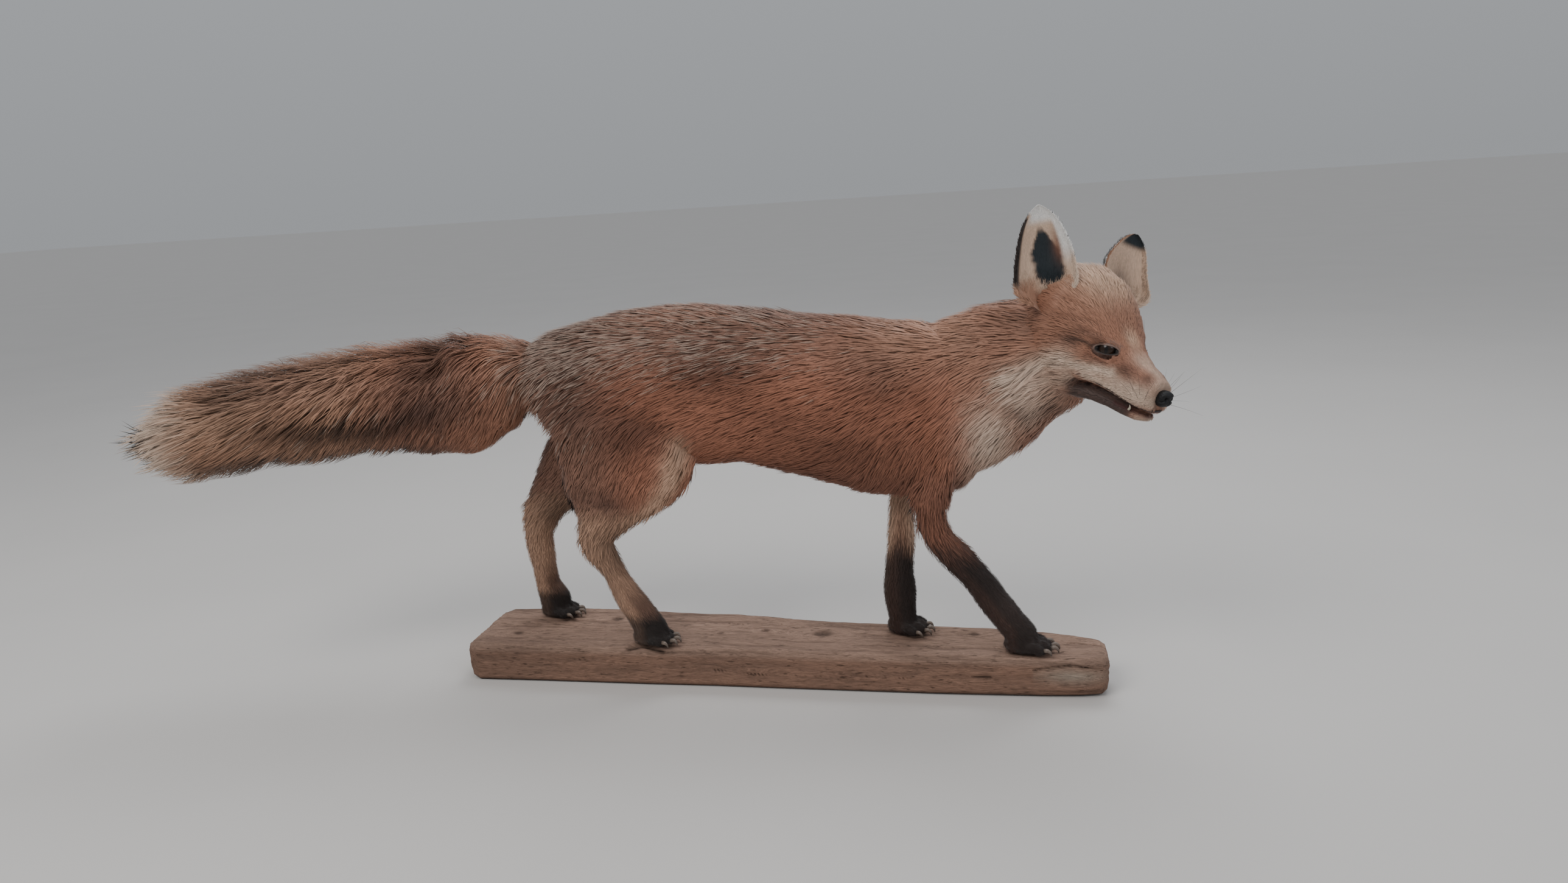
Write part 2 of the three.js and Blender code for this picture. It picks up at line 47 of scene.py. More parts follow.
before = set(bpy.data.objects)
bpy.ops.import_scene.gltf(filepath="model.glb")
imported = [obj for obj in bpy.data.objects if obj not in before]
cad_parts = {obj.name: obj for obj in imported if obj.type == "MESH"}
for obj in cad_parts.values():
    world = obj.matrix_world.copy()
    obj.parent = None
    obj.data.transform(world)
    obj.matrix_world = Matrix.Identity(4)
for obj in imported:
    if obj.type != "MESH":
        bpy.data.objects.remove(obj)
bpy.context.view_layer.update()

# ---------------- places
# Points are in millimetres in the fox's frame: x towards the chest, y to the fox's left, z up from the
# plank's top, with y = 0 on the fox's middle plane.

MM = 0.001
TRUNK_BOX = np.array(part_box("trunk"))
PLANK_BOX = np.array(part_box("base_plank"))
FOX = np.array([0.0, TRUNK_BOX[:, 1].mean(), PLANK_BOX[1, 2]])
LIMBS = ("hind_right", "hind_left", "fore_right", "fore_left")
SIDES = {"right": -1, "left": 1}
NOSE_DROP = math.radians(18.6)            # the nose lies this far below the head's level line
EYE_OFFSET = np.array([1.5, 0.0, -6.0])   # middle of the eye solids, from the head's origin
EYE_AT = (7.2, 16.7, -3.8)                # middle of the left glass eye, in the head's frame
EYE_RADIUS = 8.9
NAPE = np.array([250.0, -6.0, 292.0])     # where the neck ends, and the way across the cut
NAPE_SLOPE = np.array([0.9, -0.25, 0.35])
BREAST = np.array([203.0, 0.0, 252.0])    # where the trunk ends, and the way across the cut
BREAST_SLOPE = np.array([0.93, -0.05, 0.36])
TAIL_START, LEG_START = -236.0, 150.0
CORE_HEIGHT = 245.0                       # height of the trunk's middle line
TAIL_FLOOR = ((-330, 110), (-300, 205), (-236, 236))    # x, height under which the hind legs begin


def unit(vectors):
    """Vectors over their own lengths."""
    return vectors / np.maximum(np.linalg.norm(vectors, axis=-1, keepdims=True), 1e-9)


def mesh_points(mesh):
    """A mesh's vertices as an array of points in the fox's frame."""
    points = np.empty(len(mesh.vertices) * 3, np.float32)
    mesh.vertices.foreach_get("co", points)
    return (points.reshape(-1, 3).astype(float) - FOX) / MM


def node_points(*names):
    """The vertices of CAD nodes as an array of points."""
    return np.concatenate([mesh_points(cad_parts[name].data) for name in names])


def head_frame():
    """The head's origin between the eyes, and its axes as rows: forward, left and up."""
    right, left, nose = (node_points(name).mean(0) for name in ("eye_right", "eye_left", "nose"))
    side = unit(left - right)
    middle = (left + right) / 2
    ahead = nose - middle
    ahead = unit(ahead - side * (ahead @ side))
    above = np.cross(ahead, side)
    forward = ahead * math.cos(NOSE_DROP) + above * math.sin(NOSE_DROP)
    axes = np.stack([forward, side, np.cross(forward, side)])
    return middle - EYE_OFFSET @ axes, axes


HEAD_AT, HEAD_AXES = head_frame()


def to_head(points):
    """Points of the fox's frame in the head's own frame."""
    return (points - HEAD_AT) @ HEAD_AXES.T


def from_head(points):
    """Points of the head's frame in the fox's frame."""
    return HEAD_AT + np.asarray(points, float) @ HEAD_AXES


def folded(points):
    """Points with those of the right side carried over to the left, by their y without its sign."""
    return np.stack([points[:, 0], np.abs(points[:, 1]), points[:, 2]], 1)


def limb_line(name):
    """The middle of a limb at each level ring of its nodes, from the top down: an array of points."""
    parts = ("thigh", "shank", "paw") if name.startswith("hind") else ("upper", "lower", "paw")
    points = node_points(*(f"{name}_{part}" for part in parts))
    levels = np.round(points[:, 2])
    rows = [points[levels == level] for level in np.unique(levels)]
    rows = [r for r in rows if len(r) >= 8 and 18 < r[0, 2] < LEG_START + 8]
    return np.array([(r.min(0) + r.max(0)) / 2 for r in rows])[::-1]


def tail_line(count=14):
    """The middle of the tail at even steps of x, by cubics fitted through its vertices."""
    points = node_points("tail_root", "tail_middle", "tail_tip")
    x = np.linspace(TAIL_START, points[:, 0].min(), count)
    y, z = (np.polyval(np.polyfit(points[:, 0], points[:, axis], 3), x) for axis in (1, 2))
    return np.stack([x, y, z], 1)


LIMB_LINES = {name: limb_line(name) for name in LIMBS}
TAIL_LINE = tail_line()


def tail_middle(x, axis):
    """The tail's middle line at places x, along y (axis 1) or z (axis 2)."""
    return np.interp(x, TAIL_LINE[::-1, 0], TAIL_LINE[::-1, axis])


def limb_middle(name, z, axis):
    """A limb's middle line at heights z, along x (axis 0) or y (axis 1)."""
    line = LIMB_LINES[name]
    return np.interp(z, line[::-1, 2], line[::-1, axis])


# ---------------- settings


def colour(name, default, description):
    """A colour setting."""
    return FloatVectorProperty(name=name, description=description, default=default, subtype="COLOR",
                               size=3, min=0.0, max=1.0)


class FoxCoatSettings(bpy.types.PropertyGroup):
    """Colours and make of the coat."""

    rust: colour("Rust", (0.365, 0.152, 0.092), "Flanks, shoulders and neck")
    brown: colour("Brown", (0.200, 0.110, 0.078), "Back and rump under the silver tips")
    umber: colour("Umber", (0.095, 0.050, 0.038), "Dark hair round the eye and on the forearms")
    tan: colour("Tan", (0.400, 0.218, 0.138), "Shanks and body of the brush")
    straw: colour("Straw", (0.680, 0.450, 0.315), "Forehead and crown")
    cream: colour("Cream", (0.740, 0.570, 0.450), "Cheeks, lips and breast")
    white: colour("White", (0.900, 0.880, 0.850), "Ear tips and rims")
    black: colour("Black", (0.027, 0.020, 0.018), "Feet, lips and backs of the ears")
    slate: colour("Slate", (0.025, 0.033, 0.039), "Bare skin in the hollow of the ears")
    silver: colour("Silver", (0.680, 0.530, 0.430), "Tips of the grizzled guard hairs")
    fullness: FloatProperty(name="Fullness", description="Share of the full number of tufts",
                            default=1.0, min=0.05, max=1.0, subtype="FACTOR")
    seed: IntProperty(name="Seed", description="Start of the random draws", default=11, min=0)


class FoxFaceSettings(bpy.types.PropertyGroup):
    """Sizes of the eyes, nose and whiskers."""

    fissure: FloatProperty(name="Eye opening", description="Length of the opening between the lids",
                           default=0.0202, min=0.008, max=0.03, unit="LENGTH")
    iris: colour("Iris", (0.024, 0.012, 0.007), "Colour of the glass eye's iris")
    whisker: FloatProperty(name="Whisker", description="Length of the longest whisker",
                           default=0.052, min=0.01, max=0.08, unit="LENGTH")


class FoxPlankSettings(bpy.types.PropertyGroup):
    """Colours of the driftwood."""

    pale: colour("Pale grain", (0.355, 0.232, 0.175), "Weathered ridges of the grain")
    dark: colour("Dark grain", (0.130, 0.082, 0.062), "Hollows of the grain")
    warm: colour("Warm side", (0.270, 0.152, 0.105), "Less weathered wood on the sides")
    # the crack colour also paints the shadow along the plank's foot
    crack: colour("Crack", (0.030, 0.018, 0.014), "Cracks and the hearts of knots")


class FoxStageSettings(bpy.types.PropertyGroup):
    """Floor, lights and camera."""

    floor: colour("Floor", (0.62, 0.60, 0.58), "Colour of the plain floor")
    key: FloatProperty(name="Key light", description="Power of the large soft light", default=29.0,
                       min=0.0, unit="POWER")
    fill: FloatProperty(name="Fill light", description="Power of the light from the other side",
                        default=9.0, min=0.0, unit="POWER")
    lens: FloatProperty(name="Lens", description="Focal length", default=24.88, min=10.0, max=200.0,
                        unit="CAMERA")


def settings(name):
    """The scene's settings of that name."""
    return getattr(bpy.context.scene, name)


def draws(offset):
    """Random draws that start from the seed plus a piece's own offset."""
    return np.random.default_rng(settings("fox_coat").seed + offset)


def palette():
    """The coat's colours as arrays, by name."""
    group = settings("fox_coat")
    names = ("rust", "brown", "umber", "tan", "straw", "cream", "white", "black", "slate", "silver")
    return {name: np.array(getattr(group, name)) for name in names}


# ---------------- sums on whole arrays


def ramp(value, start, end):
    """0 before start, 1 past end, and a smooth step between. end may be the lower of the two."""
    t = np.clip((value - start) / (end - start), 0, 1)
    return t * t * (3 - 2 * t)


def near(points, centre, reach):
    """A soft spot: e to the minus square of the distance from the centre, measured in reaches."""
    away = (points - np.asarray(centre, float)) / np.asarray(reach, float)
    return np.exp(-(away ** 2).sum(-1))


def band(away, width):
    """A soft band: e to the minus square of the distance, measured in widths."""
    return np.exp(-(away / width) ** 2)


def flattened(ways, normals):
    """Ways with their share along the normals taken out, so that they lie in the surface."""
    return ways - normals * (ways * normals).sum(1, keepdims=True)


def noise(points, size, seed=0):
    """Smooth noise from -1 to 1: values hashed at the corners of cubes of the size, blended between them."""
    scaled = points / size + 13.7 * seed
    cell = np.floor(scaled).astype(np.int64)
    part = scaled - cell
    part = part * part * (3 - 2 * part)
    total = np.zeros(len(points))
    for corner in np.ndindex(2, 2, 2):
        at = cell + corner
        mixed = at[:, 0] * 73856093 ^ at[:, 1] * 19349663 ^ at[:, 2] * 83492791 ^ (seed + 1) * 2654435
        mixed = (mixed ^ (mixed >> 15)) * 2246822519 & 0xFFFFFFFF
        mixed = (mixed ^ (mixed >> 13)) * 3266489917 & 0xFFFFFFFF
        weight = np.prod(np.where(corner, part, 1 - part), axis=1)
        total += ((mixed >> 8 & 0xFFFF) / 32767.5 - 1) * weight
    return total


def spline(points, count):
    """`count` points at even steps of a smooth curve through the given ones (Catmull-Rom)."""
    p = np.asarray(points, float)
    p = np.concatenate([2 * p[:1] - p[1:2], p, 2 * p[-1:] - p[-2:-1]])
    t = np.linspace(0, len(p) - 3, count)
    i = np.minimum(t.astype(int), len(p) - 4)
    f = (t - i)[:, None]
    a, b, c, d = p[i], p[i + 1], p[i + 2], p[i + 3]
    return b + f / 2 * (c - a + f * (2 * a - 5 * b + 4 * c - d + f * (3 * (b - c) + d - a)))


def grid_faces(rows, columns, closed=False):
    """The quads of a grid of rows by columns of points. A closed one joins its last column to its first."""
    r = np.arange(rows - 1)[:, None]
    c = np.arange(columns if closed else columns - 1)[None, :]
    ahead = (c + 1) % columns
    corners = (r * columns + c, r * columns + ahead, (r + 1) * columns + ahead, (r + 1) * columns + c)
    return np.stack([k.ravel() for k in np.broadcast_arrays(*corners)], 1)


def tube(path, radii, sides=8, flat=1.0, up=(0, 0, 1)):
    """Rings carried along a path, closed on its two ends: (points, faces). flat squashes a ring's height."""
    path, radii = np.asarray(path, float), np.broadcast_to(np.asarray(radii, float), len(path))
    ahead = unit(np.gradient(path, axis=0))
    side = unit(np.cross(np.broadcast_to(up, path.shape), ahead))
    over = np.cross(ahead, side)
    angle = np.arange(sides) * 2 * np.pi / sides
    ring = side[:, None] * np.cos(angle)[None, :, None] + over[:, None] * flat * np.sin(angle)[None, :, None]
    points = (path[:, None] + ring * radii[:, None, None]).reshape(-1, 3)
    return capped(points, len(path), sides)


def capped(points, rows, sides):
    """A row of rings with a fan to a middle point at each end: (points, quads, some narrow)."""
    ends = np.stack([points[:sides].mean(0), points[-sides:].mean(0)])
    faces = grid_faces(rows, sides, True)
    i = np.arange(sides)
    first = np.full(sides, len(points))
    start = np.stack([first, (i + 1) % sides, i, i], 1)
    last = (rows - 1) * sides
    stop = np.stack([first + 1, last + i, last + (i + 1) % sides, last + (i + 1) % sides], 1)
    return np.concatenate([points, ends]), np.concatenate([faces, start, stop])


def triangles(faces):
    """Quads as triangles. A quad that ends on a repeated corner is one triangle."""
    first, second = faces[:, [0, 1, 2]], faces[:, [0, 2, 3]]
    return np.concatenate([first, second[faces[:, 2] != faces[:, 3]]])


def outward(points, faces):
    """The faces, turned round where the volume that they close comes out below zero."""
    a, b, c = (points[faces[:, k]] for k in range(3))
    return faces if (a * np.cross(b, c)).sum() > 0 else faces[:, ::-1]


def closed(points, faces):
    """A closed form's (points, triangles), facing out, from its points and quads."""
    return points, outward(points, triangles(faces))


def merge(*parts):
    """Several (points, faces) as one."""
    starts = np.cumsum([0] + [len(p) for p, _ in parts[:-1]])
    return np.concatenate([p for p, _ in parts]), np.concatenate([f + s for (_, f), s in zip(parts, starts)])


# ---------------- meshes


def add_object(name, data):
    """A new object of the scene."""
    made = bpy.data.objects.new(name, data)
    bpy.context.scene.collection.objects.link(made)
    return made


def make_piece(name, points, faces, slot, material, colours, replaced=(), uv=None, fibre=None,
               normals=None):
    """A mesh piece from points in the fox's frame and triangles, with its colours, ride and replaced nodes.
    slot is not used. normals shade it in place of its own where they are given."""
    mesh = bpy.data.meshes.new(name)
    mesh.vertices.add(len(points))
    mesh.vertices.foreach_set("co", (points * MM + FOX).astype(np.float32).ravel())
    mesh.loops.add(faces.size)
    mesh.loops.foreach_set("vertex_index", faces.astype(np.int32).ravel())
    mesh.polygons.add(len(faces))
    mesh.polygons.foreach_set("loop_start", np.arange(0, faces.size, 3, dtype=np.int32))
    mesh.polygons.foreach_set("use_smooth", np.ones(len(faces), bool))
    mesh.update(calc_edges=True)
    tint = np.concatenate([np.clip(colours, 0, 1), np.ones((len(colours), 1))], 1).astype(np.float32)
    mesh.color_attributes.new("Tint", "FLOAT_COLOR", "POINT").data.foreach_set("color", tint.ravel())
    if fibre is not None:
        store = mesh.attributes.new("Fibre", "FLOAT_VECTOR", "POINT")
        store.data.foreach_set("vector", fibre.astype(np.float32).ravel())
    if uv is not None:
        layer = mesh.uv_layers.new(name="OFBake")
        layer.uv.foreach_set("vector", uv[faces.ravel()].astype(np.float32).ravel())
    if normals is not None:
        mesh.normals_split_custom_set_from_vertices(normals)
    mesh.materials.append(material)
    piece = add_object(name, mesh)
    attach(piece, "root")
    if replaced:
        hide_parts(*replaced)
    return piece


def joined_piece(name, parts, tints, slot, material, replaced=()):
    """One piece from several (points, faces) and their colours."""
    points, faces = merge(*parts)
    return make_piece(name, points, faces, slot, material, np.concatenate(tints), replaced)


# ---------------- materials


def add_node(tree, kind, inputs=None, **properties):
    """A node with its properties set and its sockets given values or links."""
    node = tree.nodes.new(kind)
    for key, value in properties.items():
        setattr(node, key, value)
    for key, value in (inputs or {}).items():
        if isinstance(value, bpy.types.NodeSocket):
            tree.links.new(value, node.inputs[key])
        else:
            node.inputs[key].default_value = value
    return node


def new_material(name, **sockets):
    """A material whose Principled shader has these constants: (material, tree, shader)."""
    made = bpy.data.materials.new(name)
    made.use_nodes = True
    tree = made.node_tree
    shader = tree.nodes["Principled BSDF"]
    for key, value in sockets.items():
        shader.inputs[key.replace("_", " ")].default_value = value
    return made, tree, shader


def stretched(tree, source, scale):
    """Coordinates from a socket, scaled by axis."""
    return add_node(tree, "ShaderNodeMapping", {"Vector": source, "Scale": scale}).outputs["Vector"]


def object_places(tree):
    """Coordinates in the object's own frame."""
    return add_node(tree, "ShaderNodeTexCoord").outputs["Object"]


def attribute_node(tree, name, output):
    """A socket of an attribute stored on the mesh."""
    return add_node(tree, "ShaderNodeAttribute", attribute_name=name).outputs[output]


def noise_node(tree, vector, scale, detail=4.0, roughness=0.55, distortion=0.0):
    """Noise from 0 to 1 over coordinates."""
    inputs = {"Vector": vector, "Scale": scale, "Detail": detail, "Roughness": roughness,
              "Distortion": distortion}
    return add_node(tree, "ShaderNodeTexNoise", inputs).outputs["Fac"]


def ramp_node(tree, value, *stops):
    """A colour ramp. Stops are (place, grey or colour)."""
    node = add_node(tree, "ShaderNodeValToRGB", {"Fac": value})
    elements = node.color_ramp.elements
    while len(elements) < len(stops):
        elements.new(0.5)
    for element, (place, shade) in zip(elements, stops):
        element.position = place
        element.color = (shade,) * 3 + (1,) if isinstance(shade, float) else tuple(shade) + (1,)
    return node.outputs["Color"]


def paint(tree, shader, colour_or_socket, *shades):
    """The shader's base colour: a colour, times each of the shades in turn."""
    mixed = colour_or_socket
    for shade in shades:
        inputs = {0: 1.0, 6: mixed, 7: shade}      # a mix node's share, and its two colours
        mixed = add_node(tree, "ShaderNodeMix", inputs, data_type="RGBA", blend_type="MULTIPLY").outputs[2]
    tree.links.new(mixed, shader.inputs["Base Color"])


def bump_node(tree, height, strength, distance, normal=None):
    """The surface's normal tipped by a height, on top of an earlier normal where one is given."""
    inputs = {"Height": height, "Strength": strength, "Distance": distance}
    if normal is not None:
        inputs["Normal"] = normal
    return add_node(tree, "ShaderNodeBump", inputs).outputs["Normal"]


def tint_of(tree):
    """The mesh's own colours."""
    return attribute_node(tree, "Tint", "Color")


def hair_material(name, roughness, level):
    """Fur: the tint with fine mottling, a soft gloss and a little sheen."""
    made, tree, shader = new_material(name, Roughness=roughness, Specular_IOR_Level=level, Sheen_Weight=0.12,
                                      Sheen_Roughness=0.4)
    mottle = ramp_node(tree, noise_node(tree, object_places(tree), 420.0), (0.3, 0.86), (0.7, 1.0))
    paint(tree, shader, tint_of(tree), mottle)
    return made


def skin_material():
    """Skin under the coat: short hairs drawn as streaks along their lie, in colour and in relief."""
    made, tree, shader = new_material("short_hair_skin", Roughness=0.72, Specular_IOR_Level=0.22,
                                      Sheen_Weight=0.15, Sheen_Roughness=0.5)
    lie = attribute_node(tree, "Fibre", "Vector")
    streak = noise_node(tree, lie, 1.7, 3.0, 0.6)
    clump = noise_node(tree, lie, 0.45, 2.0, 0.5)
    shade = ramp_node(tree, streak, (0.3, 0.76), (0.68, 1.08))
    soft = ramp_node(tree, clump, (0.25, 0.88), (0.75, 1.04))
    paint(tree, shader, tint_of(tree), shade, soft)
    low = bump_node(tree, clump, 0.35, 0.0012)
    tree.links.new(bump_node(tree, streak, 0.55, 0.0005, low), shader.inputs["Normal"])
    return made


def leather_material(name, roughness, pebble, level=0.5):
    """Bare skin: the tint, pebbled, with a broken gloss."""
    made, tree, shader = new_material(name, Roughness=roughness, Specular_IOR_Level=level)
    place = object_places(tree)
    cells = add_node(tree, "ShaderNodeTexVoronoi", {"Vector": place, "Scale": pebble},
                     feature="SMOOTH_F1").outputs["Distance"]
    grain = noise_node(tree, place, pebble * 0.6)
    gloss = ramp_node(tree, grain, (0.3, roughness * 0.75), (0.7, min(1.0, roughness * 1.25)))
    tree.links.new(gloss, shader.inputs["Roughness"])
    paint(tree, shader, tint_of(tree), ramp_node(tree, grain, (0.3, 0.72), (0.7, 1.0)))
    tree.links.new(bump_node(tree, cells, 0.5, 0.0006), shader.inputs["Normal"])
    return made


def glass_material():
    """The glass eye: its painted iris under a gloss."""
    made, tree, shader = new_material("glass_eye", Roughness=0.12, Specular_IOR_Level=0.3)
    fleck = ramp_node(tree, noise_node(tree, object_places(tree), 900.0), (0.35, 0.7), (0.65, 1.0))
    paint(tree, shader, tint_of(tree), fleck)
    return made


def horn_material(name, roughness):
    """Claw or tooth: the tint with growth lines and a satin gloss."""
    made, tree, shader = new_material(name, Roughness=roughness, Specular_IOR_Level=0.45)
    line = noise_node(tree, stretched(tree, object_places(tree), (1.0, 1.0, 2.5)), 700.0, 3.0)
    paint(tree, shader, tint_of(tree), ramp_node(tree, line, (0.35, 0.66), (0.65, 1.0)))
    tree.links.new(bump_node(tree, line, 0.3, 0.0002), shader.inputs["Normal"])
    return made


MATERIALS = {}


def material(name):
    """The material of that name, made once."""
    makers = {
        "guard_hair": lambda: hair_material("guard_hair", 0.58, 0.28),
        "short_hair": lambda: hair_material("short_hair", 0.66, 0.24),
        "skin": skin_material,
        "eyelid": lambda: leather_material("eyelid_leather", 0.55, 1500.0),
        "nose": lambda: leather_material("nose_leather", 0.5, 1400.0, level=0.3),
        "lip": lambda: leather_material("lip_leather", 0.45, 1200.0),
        "glass": glass_material,
        "horn": lambda: horn_material("claw_horn", 0.38),
        "ivory": lambda: horn_material("tooth_ivory", 0.3),
        "bristle": lambda: hair_material("whisker_bristle", 0.4, 0.45),
        "driftwood": driftwood_material,
    }
    if name not in MATERIALS:
        MATERIALS[name] = makers[name]()
    return MATERIALS[name]


# ---------------- the lie of the coat
# Each row: place (3), the way the hair lies there (3), its length, the coat's depth and a tuft's width.

LIE_BLOCK = 20000                  # points weighed at a time, to bound the memory
LIE_EASE = 16.0                    # keeps a row's weight finite at its own place
TRUNK_LIE = [
    (-236, 0, 322, -1, 0, 0.12, 36, 12, 1.3),
    (-205, 0, 335, -1, 0, 0.02, 33, 7.5, 1.3),
    (-218, 40, 285, -0.75, 0.1, -0.65, 28, 6.3, 1.3),
    (-130, 0, 350, -1, 0, 0, 31, 7.8, 1.3),
    (-130, 52, 285, -0.9, 0, -0.42, 28, 5.6, 1.2),
    (-150, 56, 215, -0.45, 0, -0.9, 22, 4.4, 1.1),
    (-215, 50, 205, -0.3, 0, -0.95, 22, 5, 1.1),
    (-75, 56, 205, -0.7, 0, -0.7, 18, 3.1, 1),
    (-150, 45, 165, -0.4, 0, -0.92, 13, 2.5, 0.95),
    (-40, 0, 350, -1, 0, 0.03, 30, 7.5, 1.3),
    (-40, 52, 270, -0.95, 0, -0.3, 27, 5.6, 1.2),
    (-40, 30, 192, -0.96, -0.1, -0.2, 20, 4.4, 1.1),
    (60, 0, 338, -1, 0, 0.02, 30, 7.5, 1.3),
    (60, 55, 260, -0.96, 0, -0.28, 27, 5.6, 1.2),
    (60, 30, 176, -0.97, -0.1, -0.15, 21, 5, 1.1),
    (150, 0, 328, -1, 0, 0.02, 30, 7.8, 1.3),
    (150, 56, 262, -0.86, 0, -0.5, 26, 5.6, 1.2),
    (150, 52, 195, -0.5, 0, -0.86, 20, 4.4, 1.1),
    (150, 20, 155, -0.9, 0, -0.4, 18, 4.4, 1.1),
    (235, 0, 222, -0.5, 0, -0.86, 26, 6.9, 1.3),
    (210, 0, 172, -0.8, 0, -0.6, 22, 5.6, 1.2),
    (225, 42, 270, -0.8, 0, -0.6, 31, 7.8, 1.3),
    (245, 0, 335, -0.97, 0, -0.2, 32, 8.6, 1.3),
    (268, 46, 290, -0.86, 0, -0.5, 34, 9.2, 1.3),
    (280, 20, 232, -0.75, 0, -0.65, 27, 7.5, 1.3),
]
HEAD_LIE = [   # in the head's frame
    (66, 0, -19, -0.85, 0, 0.5, 2.19, 0.52, 0.38),
    (50, 0, -9, -0.93, 0, 0.35, 3.65, 0.72, 0.42),
    (52, 13, -25, -0.96, 0.15, -0.1, 3.65, 0.72, 0.42),
    (54, 11, -39, -0.9, 0.1, -0.4, 2.93, 0.59, 0.42),
    (25, 0, 1, -0.9, 0, 0.45, 4.39, 0.9, 0.48),
    (26, 18, -15, -0.9, 0.35, 0, 4.39, 0.77, 0.48),
    (26, 18, -35, -0.95, 0.2, -0.3, 4.39, 0.72, 0.48),
    (5, 0, 27, -0.72, 0, 0.7, 5.86, 1.2, 0.55),
    (4, 22, 14, -0.8, 0.35, 0.45, 5.12, 0.9, 0.51),
    (25.5, 18.5, -0.5, -0.6, 0.1, 0.8, 2.4, 0.5, 0.4),
    (24.5, 19, -7, -0.75, 0.3, -0.6, 2.4, 0.5, 0.4),
    (10, 26.5, -7, -0.9, 0.4, 0, 2.93, 0.52, 0.42),
    (0, 31, -26, -0.95, 0.25, -0.2, 6.58, 1.2, 0.61),
    (-20, 0, 47, -0.88, 0, 0.45, 8.78, 1.9, 0.69),
    (-24, 30, 24, -0.88, 0.25, 0.35, 8.05, 1.7, 0.69),
    (-26, 42, -14, -0.92, 0.3, -0.2, 13.1, 2.9, 0.82),
    (-52, 46, -25, -0.86, 0.4, -0.36, 23.8, 6.8, 1),
    (-50, 20, -60, -0.86, 0.2, -0.5, 19.6, 6.1, 1),
    (-50, 0, 56, -0.97, 0, 0.05, 15.3, 3.8, 0.87),
    (-80, 0, 42, -0.95, 0, -0.3, 23.8, 8.4, 1),
    (-80, 44, -8, -0.86, 0.3, -0.4, 28.1, 9.9, 1.1),
    (12, 12, -50, -0.97, 0.05, -0.15, 4.39, 0.77, 0.48),
    (45, 0, -55, -0.97, 0, -0.1, 2.93, 0.59, 0.42),
    (-14, 0, -59, -0.95, 0, -0.3, 9.55, 2.2, 0.75),
]


def mirrored(rows):
    """Rows with their mirror images across y = 0."""
    rows = np.array(rows, float)
    across = rows.copy()
    across[:, [1, 4]] *= -1
    return np.concatenate([rows, across])


def line_rows(points, sizes):
    """Rows along a line of points, lying along it. sizes gives length, depth and width for each point."""
    return np.concatenate([points, unit(np.gradient(points, axis=0)), sizes], 1)


def limb_rows(name):
    """The lie down a limb, with hair that gets shorter towards the foot."""
    line = LIMB_LINES[name]
    high = ramp(line[:, 2], 40, LEG_START)
    return line_rows(line, np.stack([5 + 9 * high, 1.3 + 2.7 * high, 0.55 + 0.3 * high], 1))


def paw_rows(name):
    """The lie on a foot, forward over the toes."""
    points = node_points(*(f"{name}_claw_{i}" for i in range(1, 5)))
    front = points.mean(0)
    ankle = LIMB_LINES[name][-1]
    ahead = unit((front - ankle) * [1, 1, 0])
    places = np.stack([front - 4 * ahead, (front + ankle) / 2 + [0, 0, 2]])
    places[:, 2] = [6, 16]
    lies = np.stack([ahead + [0, 0, -0.4], ahead + [0, 0, -0.25]])
    return np.concatenate([places, unit(lies), [[3.5, 0.8, 0.5], [4.5, 1.0, 0.5]]], 1)


def tail_rows():
    """The lie down the tail, where the coat is longest and deepest."""
    along = np.linspace(0, 1, len(TAIL_LINE))
    full = ramp(along, 0.0, 0.4) * (1 - 0.25 * ramp(along, 0.85, 1.0))
    return line_rows(TAIL_LINE, np.stack([32 + 16 * full, 14 + 12 * full, 1.2 + 0.15 * full], 1))


def all_rows():
    """Every row of the coat, with the head's carried into the fox's frame."""
    head = mirrored(HEAD_LIE)
    head[:, :3], head[:, 3:6] = from_head(head[:, :3]), head[:, 3:6] @ HEAD_AXES
    limbs = [rows(name) for name in LIMBS for rows in (limb_rows, paw_rows)]
    return np.concatenate([mirrored(TRUNK_LIE), head, tail_rows(), *limbs])


LIE = all_rows()


def coat_at(points):
    """The lie, hair length, coat depth and tuft width at points: the rows' values, each weighted by its
    distance to the minus fourth power. Returns (directions, lengths, depths, widths)."""
    found = np.empty((len(points), 6))
    for start in range(0, len(points), LIE_BLOCK):
        part = points[start:start + LIE_BLOCK]
        away = ((part[:, None] - LIE[None, :, :3]) ** 2).sum(-1) + LIE_EASE
        weight = 1 / away ** 2
        found[start:start + LIE_BLOCK] = weight @ LIE[:, 3:] / weight.sum(1, keepdims=True)
    return unit(found[:, :3]), found[:, 3], found[:, 4], found[:, 5]


# ---------------- markings


def over(shade, paint, amount):
    """A coat colour painted over another by amounts from 0 to 1, in place."""
    shade += (paint - shade) * np.clip(amount, 0, 1)[:, None]


def even_tint(shade, count):
    """One colour for each of so many points."""
    return np.tile(np.array(shade), (count, 1))


def on_head(points):
    """1 on the head, 0 behind the nape, soft between."""
    return ramp((points - NAPE) @ unit(NAPE_SLOPE), -8, 8)


def on_tail(points):
    """1 on the tail, 0 on the rump, the hind legs and all that lies before them, soft between."""
    above = points[:, 2] - np.interp(points[:, 0], *zip(*TAIL_FLOOR))
    return ramp(points[:, 0], TAIL_START + 24, TAIL_START - 30) * ramp(above, -8, 4)


LIP = [(-12, 27, -38), (0, 27, -37.5), (15, 25, -37.5), (34, 18, -40.5), (48, 13.5, -43), (60, 9, -43),
       (66, 4, -41)]


def to_line(points, line, count=24):
    """Distances from points to a smooth curve through the given ones."""
    curve = spline(line, count)
    return np.sqrt(((points[:, None] - curve[None]) ** 2).sum(-1).min(1))


